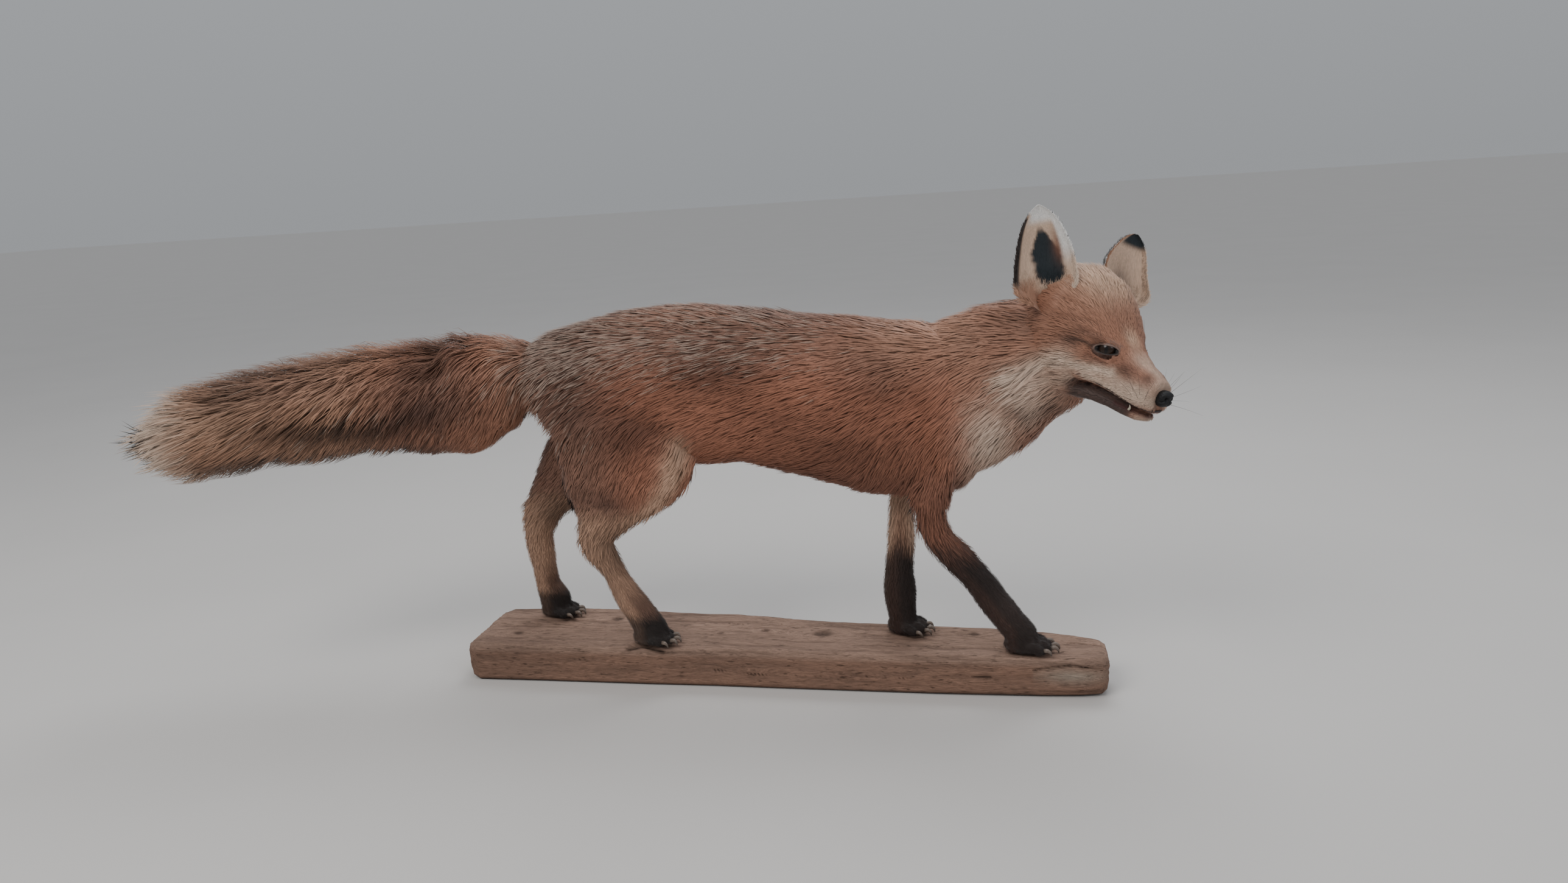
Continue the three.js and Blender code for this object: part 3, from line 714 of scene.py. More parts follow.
LIP_RED = np.array([0.085, 0.028, 0.026])
WHISKER_ROOTS = np.array([(42 + 4.5 * i, 16.3 - 1.0 * i, -27 - 3.4 * j - 0.6 * i)
                          for i in range(4) for j in range(4)])
HEAD_SPOTS = [   # paint, amount, place, reach; in the head's frame, both sides
    ("straw", 1.00, (-26, 8, 46), (29, 22, 18)),     # forehead and crown
    ("straw", 0.85, (-52, 10, 55), (22, 26, 16)),
    ("straw", 0.75, (20, 2, 7), (15, 6, 8)),         # bridge
    ("cream", 0.55, (38, 3, -7), (16, 8, 6.5)),
    ("umber", 0.75, (-13, 39, -3), (10, 7, 5.5)),    # temple
    ("umber", 0.45, (-7, 35, 7), (8, 6, 5)),
    ("umber", 0.50, (5, 29, 4), (9, 6, 3)),
    ("umber", 0.65, (34, 16.5, -15), (11, 7, 7)),    # before the eye
    # the next spot is painted shade on the side of the muzzle
    ("umber", 0.40, (41, 16.5, -27), (5, 4, 4)),
    ("cream", 0.92, (50, 14, -29), (17, 8, 8.5)),    # side of the muzzle
    ("cream", 0.60, (32, 19, -27), (12, 7, 6)),
    ("cream", 0.75, (64, 3, -20), (9, 9, 8)),        # round the nose
    ("cream", 0.60, (54, 0, -11), (9, 6, 5)),
    ("umber", 0.65, (54, 10, -16.5), (5, 5, 4.5)),   # behind the nose
    ("cream", 0.80, (-45, 36, -72), (34, 30, 22)),   # throat, with its dark patch
    ("umber", 0.65, (-45, 42, -79), (14, 14, 9)),
    ("umber", 0.55, (-34, 18, -74), (14, 16, 10)),
    ("cream", 0.95, (54, 0, -53), (13, 12, 6)),      # chin
]
HEAD_STRIPES = [   # paint, amount, width, curve
    ("cream", 0.92, 5.4, [(-6, 35, -23), (9.5, 27, -22), (24, 21, -21)]),
    ("cream", 0.88, 11.0, [(-15, 42, -23), (-26, 43, -29), (-43, 47, -39), (-58, 60, -54)]),
    ("cream", 0.60, 8.0, [(-12, 33, -37), (-20, 33, -46), (-40, 43, -56), (-60, 58, -64)]),
    ("cream", 0.92, 6.0, [(4, 29, -30), (28, 20, -34), (45, 15.5, -36), (62, 9, -34)]),
    ("black", 0.60, 4.0, [(-8, 29, -41), (10, 25, -44), (26, 18, -46.5), (44, 12, -48)]),
    ("black", 0.70, 1.8, [(3, 31, -2), (-6, 35.5, -1), (-13, 38, -1.5)]),
    ("umber", 0.55, 2.0, [(2, 31, -11), (9, 27, -14), (17, 22, -15.5)]),
]


def head_markings(points, shade, tips):
    """Paints the face, crown and cheeks, and raises the share of silver tips on the crown. The points are in
    the head's frame with both sides folded onto one."""
    c = palette()
    over(shade, 0.7 * c["rust"] + 0.3 * c["brown"], np.full(len(points), 0.5))
    for name, amount, place, reach in HEAD_SPOTS:
        over(shade, c[name], amount * near(points, place, reach))
    for name, amount, width, line in HEAD_STRIPES:
        over(shade, c[name], amount * band(to_line(points, line), width))
    f, _, u = points.T
    edge = np.array(LIP, float)
    jaw = ramp(np.interp(f, edge[:, 0], edge[:, 2]) - u, 0.2, 2.2) * ramp(f, -16, -6) * ramp(f, 52, 40)
    over(shade, 0.5 * c["umber"] + 0.038, 0.9 * jaw * ramp(u, -66, -58))
    red = to_line(points, [(32, 15, -44.5), (45, 10, -46.5), (56, 4, -48), (60, 0, -48)])
    over(shade, LIP_RED, 0.85 * band(red, 2.6))
    # painted shade along the creases of the brow furrows
    for line, width, _ in SHADED_BROW_FURROWS:
        over(shade, c["umber"], 0.4 * band(to_line(points, line), 0.8 * width))
    over(shade, c["black"], 0.95 * band(to_line(points, LIP), 1.3 + 0.8 * ramp(f, 0, 60)))
    dots = np.sqrt(((points[:, None] - WHISKER_ROOTS[None]) ** 2).sum(-1).min(1))
    over(shade, c["umber"], 0.6 * band(dots, 0.9))
    tips[:] = np.maximum(tips, 0.3 * near(points, (-30, 12, 48), (34, 30, 20)))


def limb_markings(points, shade):
    """Paints the legs: pale shanks behind, rust forelegs, and all of them black towards the feet."""
    c = palette()
    x, y, z = points.T
    hind = ramp(x, 30, 10)
    front = np.zeros(len(points))      # from about -1 at a limb's rear edge to 1 at its front edge
    for name in LIMBS:
        middle = limb_middle(name, z, 0)
        close = (np.abs(x - middle) < 42) & (np.abs(y - LIMB_LINES[name][:, 1].mean()) < 34)
        front = np.where(close, (x - middle) / 14, front)
    over(shade, 0.6 * c["tan"] + 0.4 * c["straw"], 0.85 * hind * ramp(z, 170, 130))
    over(shade, c["umber"], 0.8 * hind * ramp(z, 75, 45) * ramp(front, -0.2, 0.7))
    over(shade, c["black"], hind * ramp(z, 42, 26) * (0.8 + 0.2 * ramp(front, -0.6, 0.4)))
    fore = 1 - hind
    low = z + 22 * ramp(y, 0, 10) * ramp(z, 60, 90)
    over(shade, c["straw"], 0.8 * fore * ramp(y, 0, 10) * ramp(z, 205, 165))
    over(shade, c["umber"], 0.75 * fore * ramp(low, 130, 104))
    over(shade, c["black"], fore * ramp(low, 116, 88) * (0.7 + 0.25 * ramp(front, -0.4, 0.4)))


BRUSH_SPOTS = [   # paint, amount, x and height over the tail's middle line, reach
    ("umber", 0.9, (-326, 4), (52, 34)), ("umber", 0.3, (-420, -10), (60, 26)),
    ("straw", 0.4, (-560, 12), (60, 26)),
]
TONE_AND_PAINTED_LIGHT = [   # how much darker the coat is, or lighter if less than 0: partly the coat's own tone, partly painted shade (under the tail, on the belly and the shanks) and a painted highlight (on the black forearm); x and height of the place, reach
    (0.52, (-18, 295), (56, 26)), (-0.20, (72, 290), (26, 20)), (0.36, (142, 285), (40, 32)),
    (0.55, (-108, 238), (40, 28)), (0.45, (100, 216), (64, 28)), (0.24, (40, 246), (44, 22)),
    (0.20, (-167, 300), (30, 28)), (0.22, (218, 310), (26, 20)), (0.15, (163, 350), (40, 16)),
    (0.60, (-318, 328), (36, 20)), (0.36, (-514, 303), (44, 26)), (0.16, (-593, 281), (30, 22)),
    (0.10, (-379, 361), (44, 16)), (0.85, (-412, 266), (84, 15)), (0.55, (-148, 104), (26, 28)),
    (0.55, (-239, 129), (28, 30)), (0.15, (165, 215), (26, 26)), (-0.36, (-42, 352), (46, 14)),
    (-0.90, (-248, 345), (13, 14)), (-0.80, (250, 55), (26, 22)), (-0.34, (334, 395), (26, 20)),
    (0.38, (263, 328), (20, 15)), (-0.15, (365, 301), (14, 12)),
    (-0.25, (-421, 317), (40, 20)), (-0.25, (-168, 148), (14, 14)),
]


def brush_markings(x, up):
    """The brush's colour at places along it and heights over its middle line: tan, rust towards the rump,
    dark fringes above and below, and a pale tip with slate ends."""
    c = palette()
    brush = even_tint(c["tan"], len(x))
    over(brush, c["straw"], 0.35 * ramp(x, -268, -250))
    over(brush, c["rust"], 0.7 * ramp(x, -430, -330))
    for name, amount, place, reach in BRUSH_SPOTS:
        over(brush, c[name], amount * near(np.stack([x, up], 1), place, reach))
    over(brush, c["umber"], 0.5 * ramp(up, 30, 46) * ramp(x, -360, -420) * ramp(x, -560, -500))
    over(brush, c["black"], 0.75 * ramp(up, -28, -48) * ramp(x, -285, -350) * ramp(x, -590, -520))
    over(brush, c["cream"], 0.9 * ramp(x, -545, -605))
    over(brush, c["slate"], 0.6 * ramp(x, -618, -645))
    return brush


def markings(points):
    """The coat's colour at points, with painted shade and highlight in places, and the shares of
    silver-tipped and of dark-tipped hairs there.
    """
    c = palette()
    x, y, z = points.T
    both = folded(points)
    shade = even_tint(c["rust"], len(points))
    over(shade, c["straw"], 0.30 * ramp(z, 262, 325) * ramp(x, 60, 170))
    over(shade, c["brown"], 0.8 * ramp(z, 268, 335) * ramp(x, 200, 40))
    over(shade, c["brown"], 0.8 * ramp(x, -100, -175))
    over(shade, c["umber"], 0.45 * near(both, (-165, 48, 268), (50, 30, 40)))
    over(shade, c["umber"], 0.45 * ramp(z, 212, 178) * ramp(x, -60, 0))
    thigh = to_line(both, [(-70, 46, 222), (-80, 48, 188), (-104, 46, 158), (-130, 42, 134)])
    over(shade, c["straw"], 0.75 * band(thigh, 13))
    over(shade, c["umber"], 0.6 * near(both, (-150, 50, 165), (20, 26, 22)))
    over(shade, c["cream"], 0.85 * near(both, (238, 38, 222), (24, 24, 44)))
    over(shade, c["cream"], 0.75 * near(points, (236, 0, 215), (26, 40, 46)))
    silver = 0.6 * ramp(z, 255, 315) * ramp(x, 190, -20) + 0.3 * ramp(x, -110, -190) * ramp(z, 170, 260)
    dark = 0.05 + 0.25 * ramp(z, 280, 335) * ramp(x, 200, 120) + 0.2 * ramp(x, -110, -190)
    inner = ramp(y, 0, 8) * ramp(y, 28, 18) * ramp(x, 95, 115) * ramp(z, 215, 185)
    leg = np.maximum(ramp(z, 175, 150), inner)
    limbs = shade.copy()
    limb_markings(points, limbs)
    over(shade, limbs, leg)
    head = on_head(points)
    face = shade.copy()
    face_silver = silver.copy()
    head_markings(folded(to_head(points)), face, face_silver)
    over(shade, face, head)
    silver += (face_silver - silver) * head
    dark *= 1 - 0.6 * head
    tail = on_tail(points)
    over(shade, brush_markings(x, z - tail_middle(x, 2)), tail)
    # painted shade and highlight from the table, partly the coat's own tone
    for less, place, reach in TONE_AND_PAINTED_LIGHT:
        shade *= 1 - less * near(np.stack([x, z], 1), place, reach)[:, None]
    silver += (0.12 - silver) * tail
    dark += (0.3 - 0.15 * ramp(x, -580, -640) - dark) * tail
    return shade, silver, dark


# ---------------- skin

FLESH = ["trunk", "neck", "head", "lower_jaw", "tail_root", "tail_middle", "tail_tip"]
FLESH += [f"{name}_{part}" for name in LIMBS[:2] for part in ("thigh", "shank", "paw")]
FLESH += [f"{name}_{part}" for name in LIMBS[2:] for part in ("upper", "lower", "paw")]
SWELLS = [   # in the head's frame, both sides: place, reach, how far the skin is pushed out
    (4, 24, 5, 10, 7, 4, 1.4),
    (-6, 35, -15, 12, 9, 6, 1.4),
    (12, 26, -19, 8, 6, 4, -1.2),
    (18, 0, 12, 11, 5, 9, -1.0),
    (-14, 0, 44, 22, 3.5, 12, -0.8),
    (36, 18, -22, 12, 6, 5, -1.1),
    (50, 15, -36, 9, 6, 5, 1.1),
    (30, 16, -12, 9, 4, 4, 0.6),
]
FURROWS = [   # curves in the head's frame, both sides, then width and depth
    ([(-36, 25, 48), (-20, 20, 42), (-5, 14, 32)], 1.5, 0.9),
    ([(-38, 33, 40), (-22, 28, 36), (-6, 21, 27)], 1.5, 0.9),
    ([(-36, 39, 28), (-20, 34, 27), (-3, 26, 21)], 1.5, 1.0),
    ([(-32, 43, 13), (-17, 38, 15), (-2, 29, 17)], 1.5, 0.9),
    ([(-20, 41, 2), (-8, 36, 6), (4, 28, 8)], 1.4, 0.9),
    ([(2, 31, -11), (9, 27, -13.5), (17, 22, -15.5)], 1.4, 1.2),
    ([(-4, 35, -14), (6, 31, -18), (16, 25, -20)], 1.4, 0.6),
    ([(21, 18, -4), (25, 16, -8), (29, 16, -13)], 1.3, 1.0),
    (LIP, 1.5, 1.5),
]
SHADED_BROW_FURROWS = FURROWS[:5]         # those over the eye, whose creases also get painted shade
CELL, QUICK_CELL = 0.0015, 0.003   # metres, the skin's voxels
HIDDEN_TRIANGLES = 56000           # left on the skin under the body's long coat
ROUNDS, QUICK_ROUNDS = 14, 6       # of smoothing
CORE_END = -560.0                  # behind this x the tail's core is shortened, for the tip's long hair
EASE_IN, EASE_OUT = 0.6, -0.61     # shares moved towards the neighbours' middle and back
WORK = {}                          # what is made once: the skin, its tree and the coat's regions


def edges_of(faces):
    """Each edge of triangles once, as pairs of vertices."""
    pairs = np.sort(np.concatenate([faces[:, [0, 1]], faces[:, [1, 2]], faces[:, [2, 0]]]), 1)
    keys = np.unique(pairs[:, 0].astype(np.int64) << 32 | pairs[:, 1])
    return np.stack([keys >> 32, keys & 0xFFFFFFFF], 1)


def gathered(index, values, count):
    """Sums of rows of values by index."""
    return np.stack([np.bincount(index, values[:, k], count) for k in range(values.shape[1])], 1)


def smoothed(points, edges, rounds, moves=None):
    """Points eased towards the middle of their neighbours and back by almost as much, which keeps volume."""
    points = points.copy()
    both = np.concatenate([edges, edges[:, ::-1]])
    count = np.bincount(both[:, 0], minlength=len(points))[:, None]
    weight = 1.0 if moves is None else moves[:, None]
    for step in range(rounds * 2):
        middle = gathered(both[:, 0], points[both[:, 1]], len(points)) / np.maximum(count, 1)
        points += (middle - points) * weight * (EASE_IN if step % 2 == 0 else EASE_OUT)
    return points


def normals_of(points, faces):
    """Unit normals at vertices, from the triangles round each weighted by area."""
    a, b, c = (points[faces[:, k]] for k in range(3))
    flat = np.cross(b - a, c - a)
    total = sum(gathered(faces[:, k], flat, len(points)) for k in range(3))
    return unit(total)


def ball(centre, radius, steps=16):
    """A ball as (points, triangles)."""
    turn = np.linspace(0, np.pi, steps + 1)[1:-1, None]
    angle = np.arange(2 * steps)[None] * np.pi / steps
    ring = np.stack(np.broadcast_arrays(np.sin(turn) * np.cos(angle), np.sin(turn) * np.sin(angle),
                                        np.cos(turn)), -1)
    points, faces = capped(ring.reshape(-1, 3), steps - 1, 2 * steps)
    points[-2:] = [[0, 0, 1], [0, 0, -1]]
    points, faces = closed(points, faces)
    return np.asarray(centre, float) + points * radius, faces


def eye_centre(side):
    """The middle of a glass eye in the head's frame. side is -1 for the right one, 1 for the left."""
    return np.array(EYE_AT) * [1, side, 1]


def flesh_mesh(cell):
    """The flesh nodes joined into one even skin: (points, triangles) in the fox's frame."""
    joined = bmesh.new()
    for name in FLESH:
        joined.from_mesh(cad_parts[name].data)
    bmesh.ops.remove_doubles(joined, verts=joined.verts, dist=1e-5)
    joined.normal_update()
    for vertex in joined.verts:
        vertex.co += vertex.normal * 0.0004
    for side in SIDES.values():
        points, faces = ball(from_head(eye_centre(side)), EYE_RADIUS - 1)
        made = [joined.verts.new(p) for p in points * MM + FOX]
        for face in faces.tolist():
            joined.faces.new([made[i] for i in face])
    mesh = bpy.data.meshes.new("flesh")
    joined.to_mesh(mesh)
    joined.free()
    piece = add_object("flesh", mesh)
    bpy.context.view_layer.objects.active = piece
    mesh.remesh_voxel_size = cell
    bpy.ops.object.voxel_remesh()
    thin_out(piece, HIDDEN_TRIANGLES)
    mesh = piece.data
    mesh.calc_loop_triangles()
    faces = np.empty(len(mesh.loop_triangles) * 3, np.int32)
    mesh.loop_triangles.foreach_get("vertices", faces)
    bpy.data.objects.remove(piece)
    return mesh_points(mesh), faces.reshape(-1, 3)


def thin_out(piece, rest):
    """Leaves about `rest` triangles on the body, where the long coat hides it, and all of them elsewhere."""
    points = mesh_points(piece.data)
    fine = (to_head(points)[:, 0] > -45) & (on_head(points) > 0.5)
    group = piece.vertex_groups.new(name="body")
    group.add(np.flatnonzero(~fine).tolist(), 1.0, "REPLACE")
    total = len(points) * 2            # a closed skin has about two triangles for each vertex
    modifier = piece.modifiers.new("thin", "DECIMATE")
    modifier.ratio = (fine.sum() * 2 + rest) / total
    modifier.vertex_group = "body"
    modifier.use_collapse_triangulate = True
    bpy.ops.object.modifier_apply(modifier="thin")


def sunk(points, normals):
    """Skin drawn in under its coat: along its normals by the coat's depth, on the tail towards its core."""
    depth = coat_at(points)[2]
    inner = points - normals * depth[:, None]
    x = points[:, 0]
    middle = np.stack([x, tail_middle(x, 1), tail_middle(x, 2)], 1)
    away = points - middle
    reach = np.linalg.norm(away, axis=1, keepdims=True)
    core = middle + away * np.clip(1 - depth[:, None] / np.maximum(reach, 1), 0.3, 1)
    core[:, 0] = np.where(x < CORE_END, CORE_END + (x - CORE_END) * 0.6, x)
    return inner + (core - inner) * on_tail(points)[:, None]


def half_opening():
    """Half the length of the opening between the lids, in millimetres."""
    return settings("fox_face").fissure / MM / 2


def eye_gap(points):
    """Distances from the edge of the eye's opening, less than 0 inside it, and the places in the eye's own
    axes. The points are in the head's frame, with both sides folded onto one."""
    half = half_opening()
    at = (points - eye_centre(1)) @ eye_axes(1).T
    edge = np.stack(lid_curve(np.linspace(0, 2 * np.pi, 60), half), 1)
    away = np.full(len(at), 99.0)
    close = np.flatnonzero((np.abs(at[:, :2]) < 18).all(1) & (at[:, 2] > 0))
    away[close] = np.sqrt(((at[close, None, :2] - edge[None]) ** 2).sum(-1).min(1))
    angle = np.arccos(np.clip(at[:, 0] / half, -1, 1))
    over_it, under_it = lid_curve(angle, half)[1], lid_curve(-angle, half)[1]
    inside = (np.abs(at[:, 0]) < half) & (at[:, 1] < over_it) & (at[:, 1] > under_it)
    return np.where(inside, -away, away), at


def sculpted(points, normals):
    """The head's skin with its swells and furrows and the sockets of its eyes, the same on both sides, left
    as it is elsewhere. In a socket the skin is drawn in behind the ball and the margins of the lids."""
    picked = np.flatnonzero(on_head(points) > 0)
    local = folded(to_head(points[picked]))
    push = np.zeros(len(local))
    for row in SWELLS:
        push += row[6] * near(local, row[:3], row[3:6])
    for line, width, depth in FURROWS:
        away = to_line(local, line)
        push += 0.35 * depth * band(away - 2.2 * width, width) - depth * band(away, width)
    points = points.copy()
    points[picked] += normals[picked] * push[:, None]
    local = to_head(points[picked])
    side = np.sign(local[:, 1])
    fold = np.stack([side ** 2, side, side ** 2], 1)
    gap, at = eye_gap(local * fold)
    floor = np.sqrt(np.maximum((EYE_RADIUS - 1) ** 2 - (at[:, :2] ** 2).sum(1), (0.45 * EYE_RADIUS) ** 2))
    drop = np.maximum(at[:, 2] - floor, 0) * ramp(gap, 2.4, 0.5) * (at[:, 2] < EYE_RADIUS + 7)
    way = eye_axes(1)[2] * fold
    points[picked] -= (way @ HEAD_AXES) * drop[:, None]
    return points


# ---------------- ears

EAR_HALF, EAR_HOLLOW = 29.0, 19.0
EAR_SUNK = 0.16                    # how much further an ear runs down into the head, as a share of its height
EARS = {   # root, tip and the way the hollow faces, in the head's frame
    "right": ((-50, -40, 20), (-67, -65, 104), (0.8, -0.6, 0)),
    "left": ((-48, 40, 22), (-62, 60, 85), (0.97, -0.2, 0)),
}


def ear_sheet(name, t, u, depth):
    """Points of an ear in the fox's frame: t runs from root to tip, u across from -1 to 1, depth back."""
    root, tip, facing = (np.array(v, float) for v in EARS[name])
    axis = tip - root
    length = np.linalg.norm(axis)
    axis /= length
    front = unit(facing - axis * (facing @ axis))
    across = np.cross(axis, front) * SIDES[name]
    up = np.maximum(t, 0)
    flare = 0.62 + 0.38 * np.sin(np.minimum(up / 0.3, 1) * np.pi / 2)
    half = EAR_HALF * flare * np.maximum(1 - 0.985 * up ** 2.4, 0) ** 0.62 - 1.0
    half = half * (1 + 1.8 * np.minimum(t, 0))
    hollow = EAR_HOLLOW * (1 - t) + 1.5
    wide = half * np.sin(1.4 * u) / math.sin(1.4)
    back = hollow * (1 - u * u) + depth
    local = root + axis * (length * t - 1.2 * t)[:, None] + across * wide[:, None] - front * back[:, None]
    local += ramp(t, 0.6, 0.1)[:, None] * [4, SIDES[name] * 6, 0]
    local[:, 1] -= SIDES[name] * 80 * np.maximum(0.1 - t, 0)     # its root leans in under the coat
    return from_head(local)


def ear_depth(u, inside):
    """How far back the inner or the outer side of an ear lies: the outer is thickest along the middle."""
    return 0.9 if inside else 2.9 - 1.2 * u * u


def ear_relief(t, u):
    """How far the ear's inner side stands out: ridges that run up it, and a rolled edge."""
    ridges = 0.9 * band(u + 0.25 - 0.1 * t, 0.08) + 0.8 * band(u - 0.2 + 0.1 * t, 0.08)
    roll = 1.1 * ramp(np.abs(u), 0.86, 1.0)
    return ridges * ramp(t, 0.62, 0.2) + roll


def ear_colours(name, t, u, inside):
    """Markings of an ear. u runs from the front edge to the rear one. The right ear has a white tip and
    front rim, a dark bare patch in its hollow and a black back. The shrunk left one is pale, and dark at
    its tip."""
    c = palette()
    place = np.stack([t, u], 1)
    if not inside:
        shade = even_tint(c["black"] * 1.6, len(t))
        over(shade, c["rust"], ramp(t, 0.34, 0.05))
        over(shade, c["white"], 0.95 * ramp(u, -0.62, -0.85))
        over(shade, c["white"] if name == "right" else c["slate"], 0.95 * ramp(t, 0.86, 0.93))
        return shade
    shade = even_tint(0.5 * c["cream"] + 0.5 * c["straw"], len(t))
    if name == "left":
        over(shade, c["slate"], 0.7 * near(place, (0.3, 0.1), (0.22, 0.3)))
        over(shade, c["tan"], ramp(u, -0.6, -0.9))
        over(shade, c["slate"], ramp(t, 0.78, 0.88) * ramp(u, -0.75, -0.4))
        return shade
    middle = -0.17 + 0.45 * np.maximum(t - 0.3, 0)
    wide = 0.36 * np.sqrt(np.clip((t - 0.1) / 0.2, 0, 1)) * ramp(t, 0.88, 0.45) + 0.02
    wavy = 0.14 * np.sin(23 * t + 2) * np.sin(41 * t + 9 * u)
    patch = ramp(np.abs(u - middle) / wide + wavy, 1.2, 0.8) * ramp(t, 0.08, 0.18) * ramp(t, 0.8, 0.7)
    over(shade, c["slate"], patch)
    over(shade, 0.6 * c["rust"] + 0.2 * c["umber"], 0.85 * near(place, (0.56, -0.45), (0.16, 0.17)))
    over(shade, 0.6 * c["rust"] + 0.4 * c["straw"], ramp(t, 0.3, 0.12) * ramp(u, 0.0, 0.4))
    over(shade, c["white"], ramp(u, -0.42, -0.6) * ramp(t, 0.3, 0.6))
    over(shade, c["cream"], ramp(u, -0.72, -0.86) * ramp(t, 0.5, 0.25))
    over(shade, c["black"] * 1.5, ramp(u, 0.62, 0.74) * ramp(t, 0.93, 0.86) * ramp(t, 0.14, 0.26))
    over(shade, c["white"], ramp(t, 0.78, 0.88) * ramp(u, 0.75, 0.3) + ramp(t, 0.9, 0.94) * (u > 0.3))
    return shade


def ear_shell(name, rows=44, columns=41):
    """A closed ear, of an inner and an outer sheet: (points, triangles, colours, lie for the streaks)."""
    t = np.repeat(np.sin(1.5 * np.linspace(-EAR_SUNK, 1, rows)) / math.sin(1.5), columns)
    u = np.tile(np.linspace(-1, 1, columns), rows)
    inner = ear_sheet(name, t, u, ear_depth(u, True))
    facing = unit(ear_sheet(name, t, u, -1.0) - inner)
    inner = inner + facing * ear_relief(t, u)[:, None]
    outer = ear_sheet(name, t, u, ear_depth(u, False))
    shape = (rows, columns, -1)
    points = np.concatenate([inner.reshape(shape), outer.reshape(shape)[:, ::-1]], 1).reshape(-1, 3)
    front, back = (ear_colours(name, t, u, inside).reshape(shape) for inside in (True, False))
    tint = np.concatenate([front, back[:, ::-1]], 1).reshape(-1, 3)
    points, faces = closed(*capped(points, rows, 2 * columns))
    tint = np.concatenate([tint, tint[:1], tint[-1:]])
    place = np.concatenate([np.repeat(t[::columns], 2 * columns), [0, 1]])
    lie = np.stack([points[:, 0], points[:, 1], place * 9], 1)
    return points, faces, tint, lie


# ---------------- the finished skin


def streak_places(points, lies):
    """Coordinates that run slowly along the hair and fast across it, for the streaks drawn on the skin."""
    side = unit(np.cross(lies, [0.31, 0.52, 0.79]))
    high = np.cross(lies, side)
    parts = ((points * lies).sum(1) * 0.10, (points * side).sum(1) * 0.75, (points * high).sum(1) * 0.75)
    return np.stack(parts, 1)


def skin_surface():
    """The skin under the coat, made once: its points, faces and normals, the points of the coat's surface
    over it, and the coat's lie, length, depth and tuft width there."""
    if "skin" in WORK:
        return WORK["skin"]
    points, faces = flesh_mesh(CELL)
    edges = edges_of(faces)
    face_part = on_head(points) * ramp(to_head(points)[:, 0], -40, -20)
    points = smoothed(points, edges, ROUNDS, 1 - 0.35 * face_part)
    normals = normals_of(points, faces)
    outer = points
    points = sunk(points, smooth_normals(normals, edges))
    points = smoothed(points, edges, 3)
    points = sculpted(points, normals_of(points, faces))
    normals = normals_of(points, faces)
    lies, lengths, depths, widths = coat_at(outer)
    lies = unit(flattened(lies, normals))
    WORK["skin"] = dict(points=points, faces=faces, normals=normals, lies=lies, lengths=lengths,
                        depths=depths, widths=widths, outer=outer)
    return WORK["skin"]


def smooth_normals(normals, edges, rounds=4):
    """Normals averaged with their neighbours', so that a fold in the skin stays simple when drawn in."""
    for _ in range(rounds):
        total = gathered(edges[:, 0], normals[edges[:, 1]], len(normals)) + normals
        normals = unit(total + gathered(edges[:, 1], normals[edges[:, 0]], len(normals)))
    return normals


def skin_tree():
    """The skin as a tree for nearest points."""
    if "tree" not in WORK:
        skin = skin_surface()
        WORK["tree"] = BVHTree.FromPolygons(skin["points"].tolist(), skin["faces"].tolist())
    return WORK["tree"]


def on_skin(points, lift):
    """The nearest points of the skin, lifted off it."""
    tree = skin_tree()
    found = [tree.find_nearest(Vector(p)) for p in points]
    return np.array([np.array(at) + np.array(normal) * lift for at, normal, _, _ in found])


def make_skin():
    """The skin of the whole fox, with its two ears."""
    skin = skin_surface()
    ears = [ear_shell(name) for name in EARS]
    points, faces = merge((skin["points"], skin["faces"]), *(e[:2] for e in ears))
    tone = 1 + 0.1 * noise(skin["points"], 9.0, 3) + 0.06 * noise(skin["points"], 3.0, 4)
    tint = markings(skin["outer"])[0] * 0.8 * tone[:, None]
    lie = streak_places(skin["points"], skin["lies"])
    tint = np.concatenate([tint] + [e[2] for e in ears])
    lie = np.concatenate([lie] + [e[3] for e in ears])
    return make_piece("skin", points, faces, "coat_rust", material("skin"), tint,
                      FLESH + ["ear_right", "ear_left"], fibre=lie)


# ---------------- tufts

SOFTNESS = 0.8                     # how far a tuft is lit as the body under it, not by its own sides
TAPER = {2: (0.8, 1.0), 3: (0.55, 1.0, 0.72)}      # widths of a tuft's rings, as shares of its width
PATCH = 0.0015                     # reach of a tuft's own patch of the map
FLECK = 0.8                        # share of the silver hairs that are drawn
STRAYS = 0.15                      # share of tufts that may stand out of the coat
TURN_SPREAD = (0.10, 0.06)         # radians, by clump and by tuft
LENGTH_SPREAD, TONE_SPREAD = (0.08, 0.13), (0.05, 0.06)        # shares, by clump and by tuft


def tuft_frame(rings):
    """The triangles of one tuft that has `rings` rings of three points and then a tip."""
    faces = [(0, 2, 1)]
    for ring in range(rings - 1):
        for c in range(3):
            n, low, high = (c + 1) % 3, 3 * ring, 3 * ring + 3
            faces += [(low + c, low + n, high + n), (low + c, high + n, high + c)]
    top = 3 * rings - 3
    return np.array(faces + [(top + c, top + (c + 1) % 3, 3 * rings) for c in range(3)])


def root_places(region, count, rng):
    """Roots spread evenly over the skin's triangles of a region: the triangle and the place in it of each."""
    skin = skin_surface()
    a, b, c = (skin["points"][skin["faces"][:, k]] for k in range(3))
    area = np.linalg.norm(np.cross(b - a, c - a), axis=1) / 2
    share = area * region[skin["faces"]].mean(1)
    dense = 1 / (skin["widths"] * skin["lengths"])
    share = share * dense[skin["faces"]].mean(1)
    total = np.cumsum(share)
    at = (np.arange(count) + rng.random(count)) / count * total[-1]
    face = np.minimum(np.searchsorted(total, at), len(total) - 1)
    first, second = rng.random(count), rng.random(count)
    turn = first + second > 1
    first, second = np.where(turn, 1 - first, first), np.where(turn, 1 - second, second)
    return skin["faces"][face], np.stack([1 - first - second, first, second], 1)


def blended(values, corners, shares):
    """Values at vertices carried to places inside triangles."""
    picked = values[corners]
    return (picked * (shares if values.ndim == 1 else shares[..., None])).sum(1)


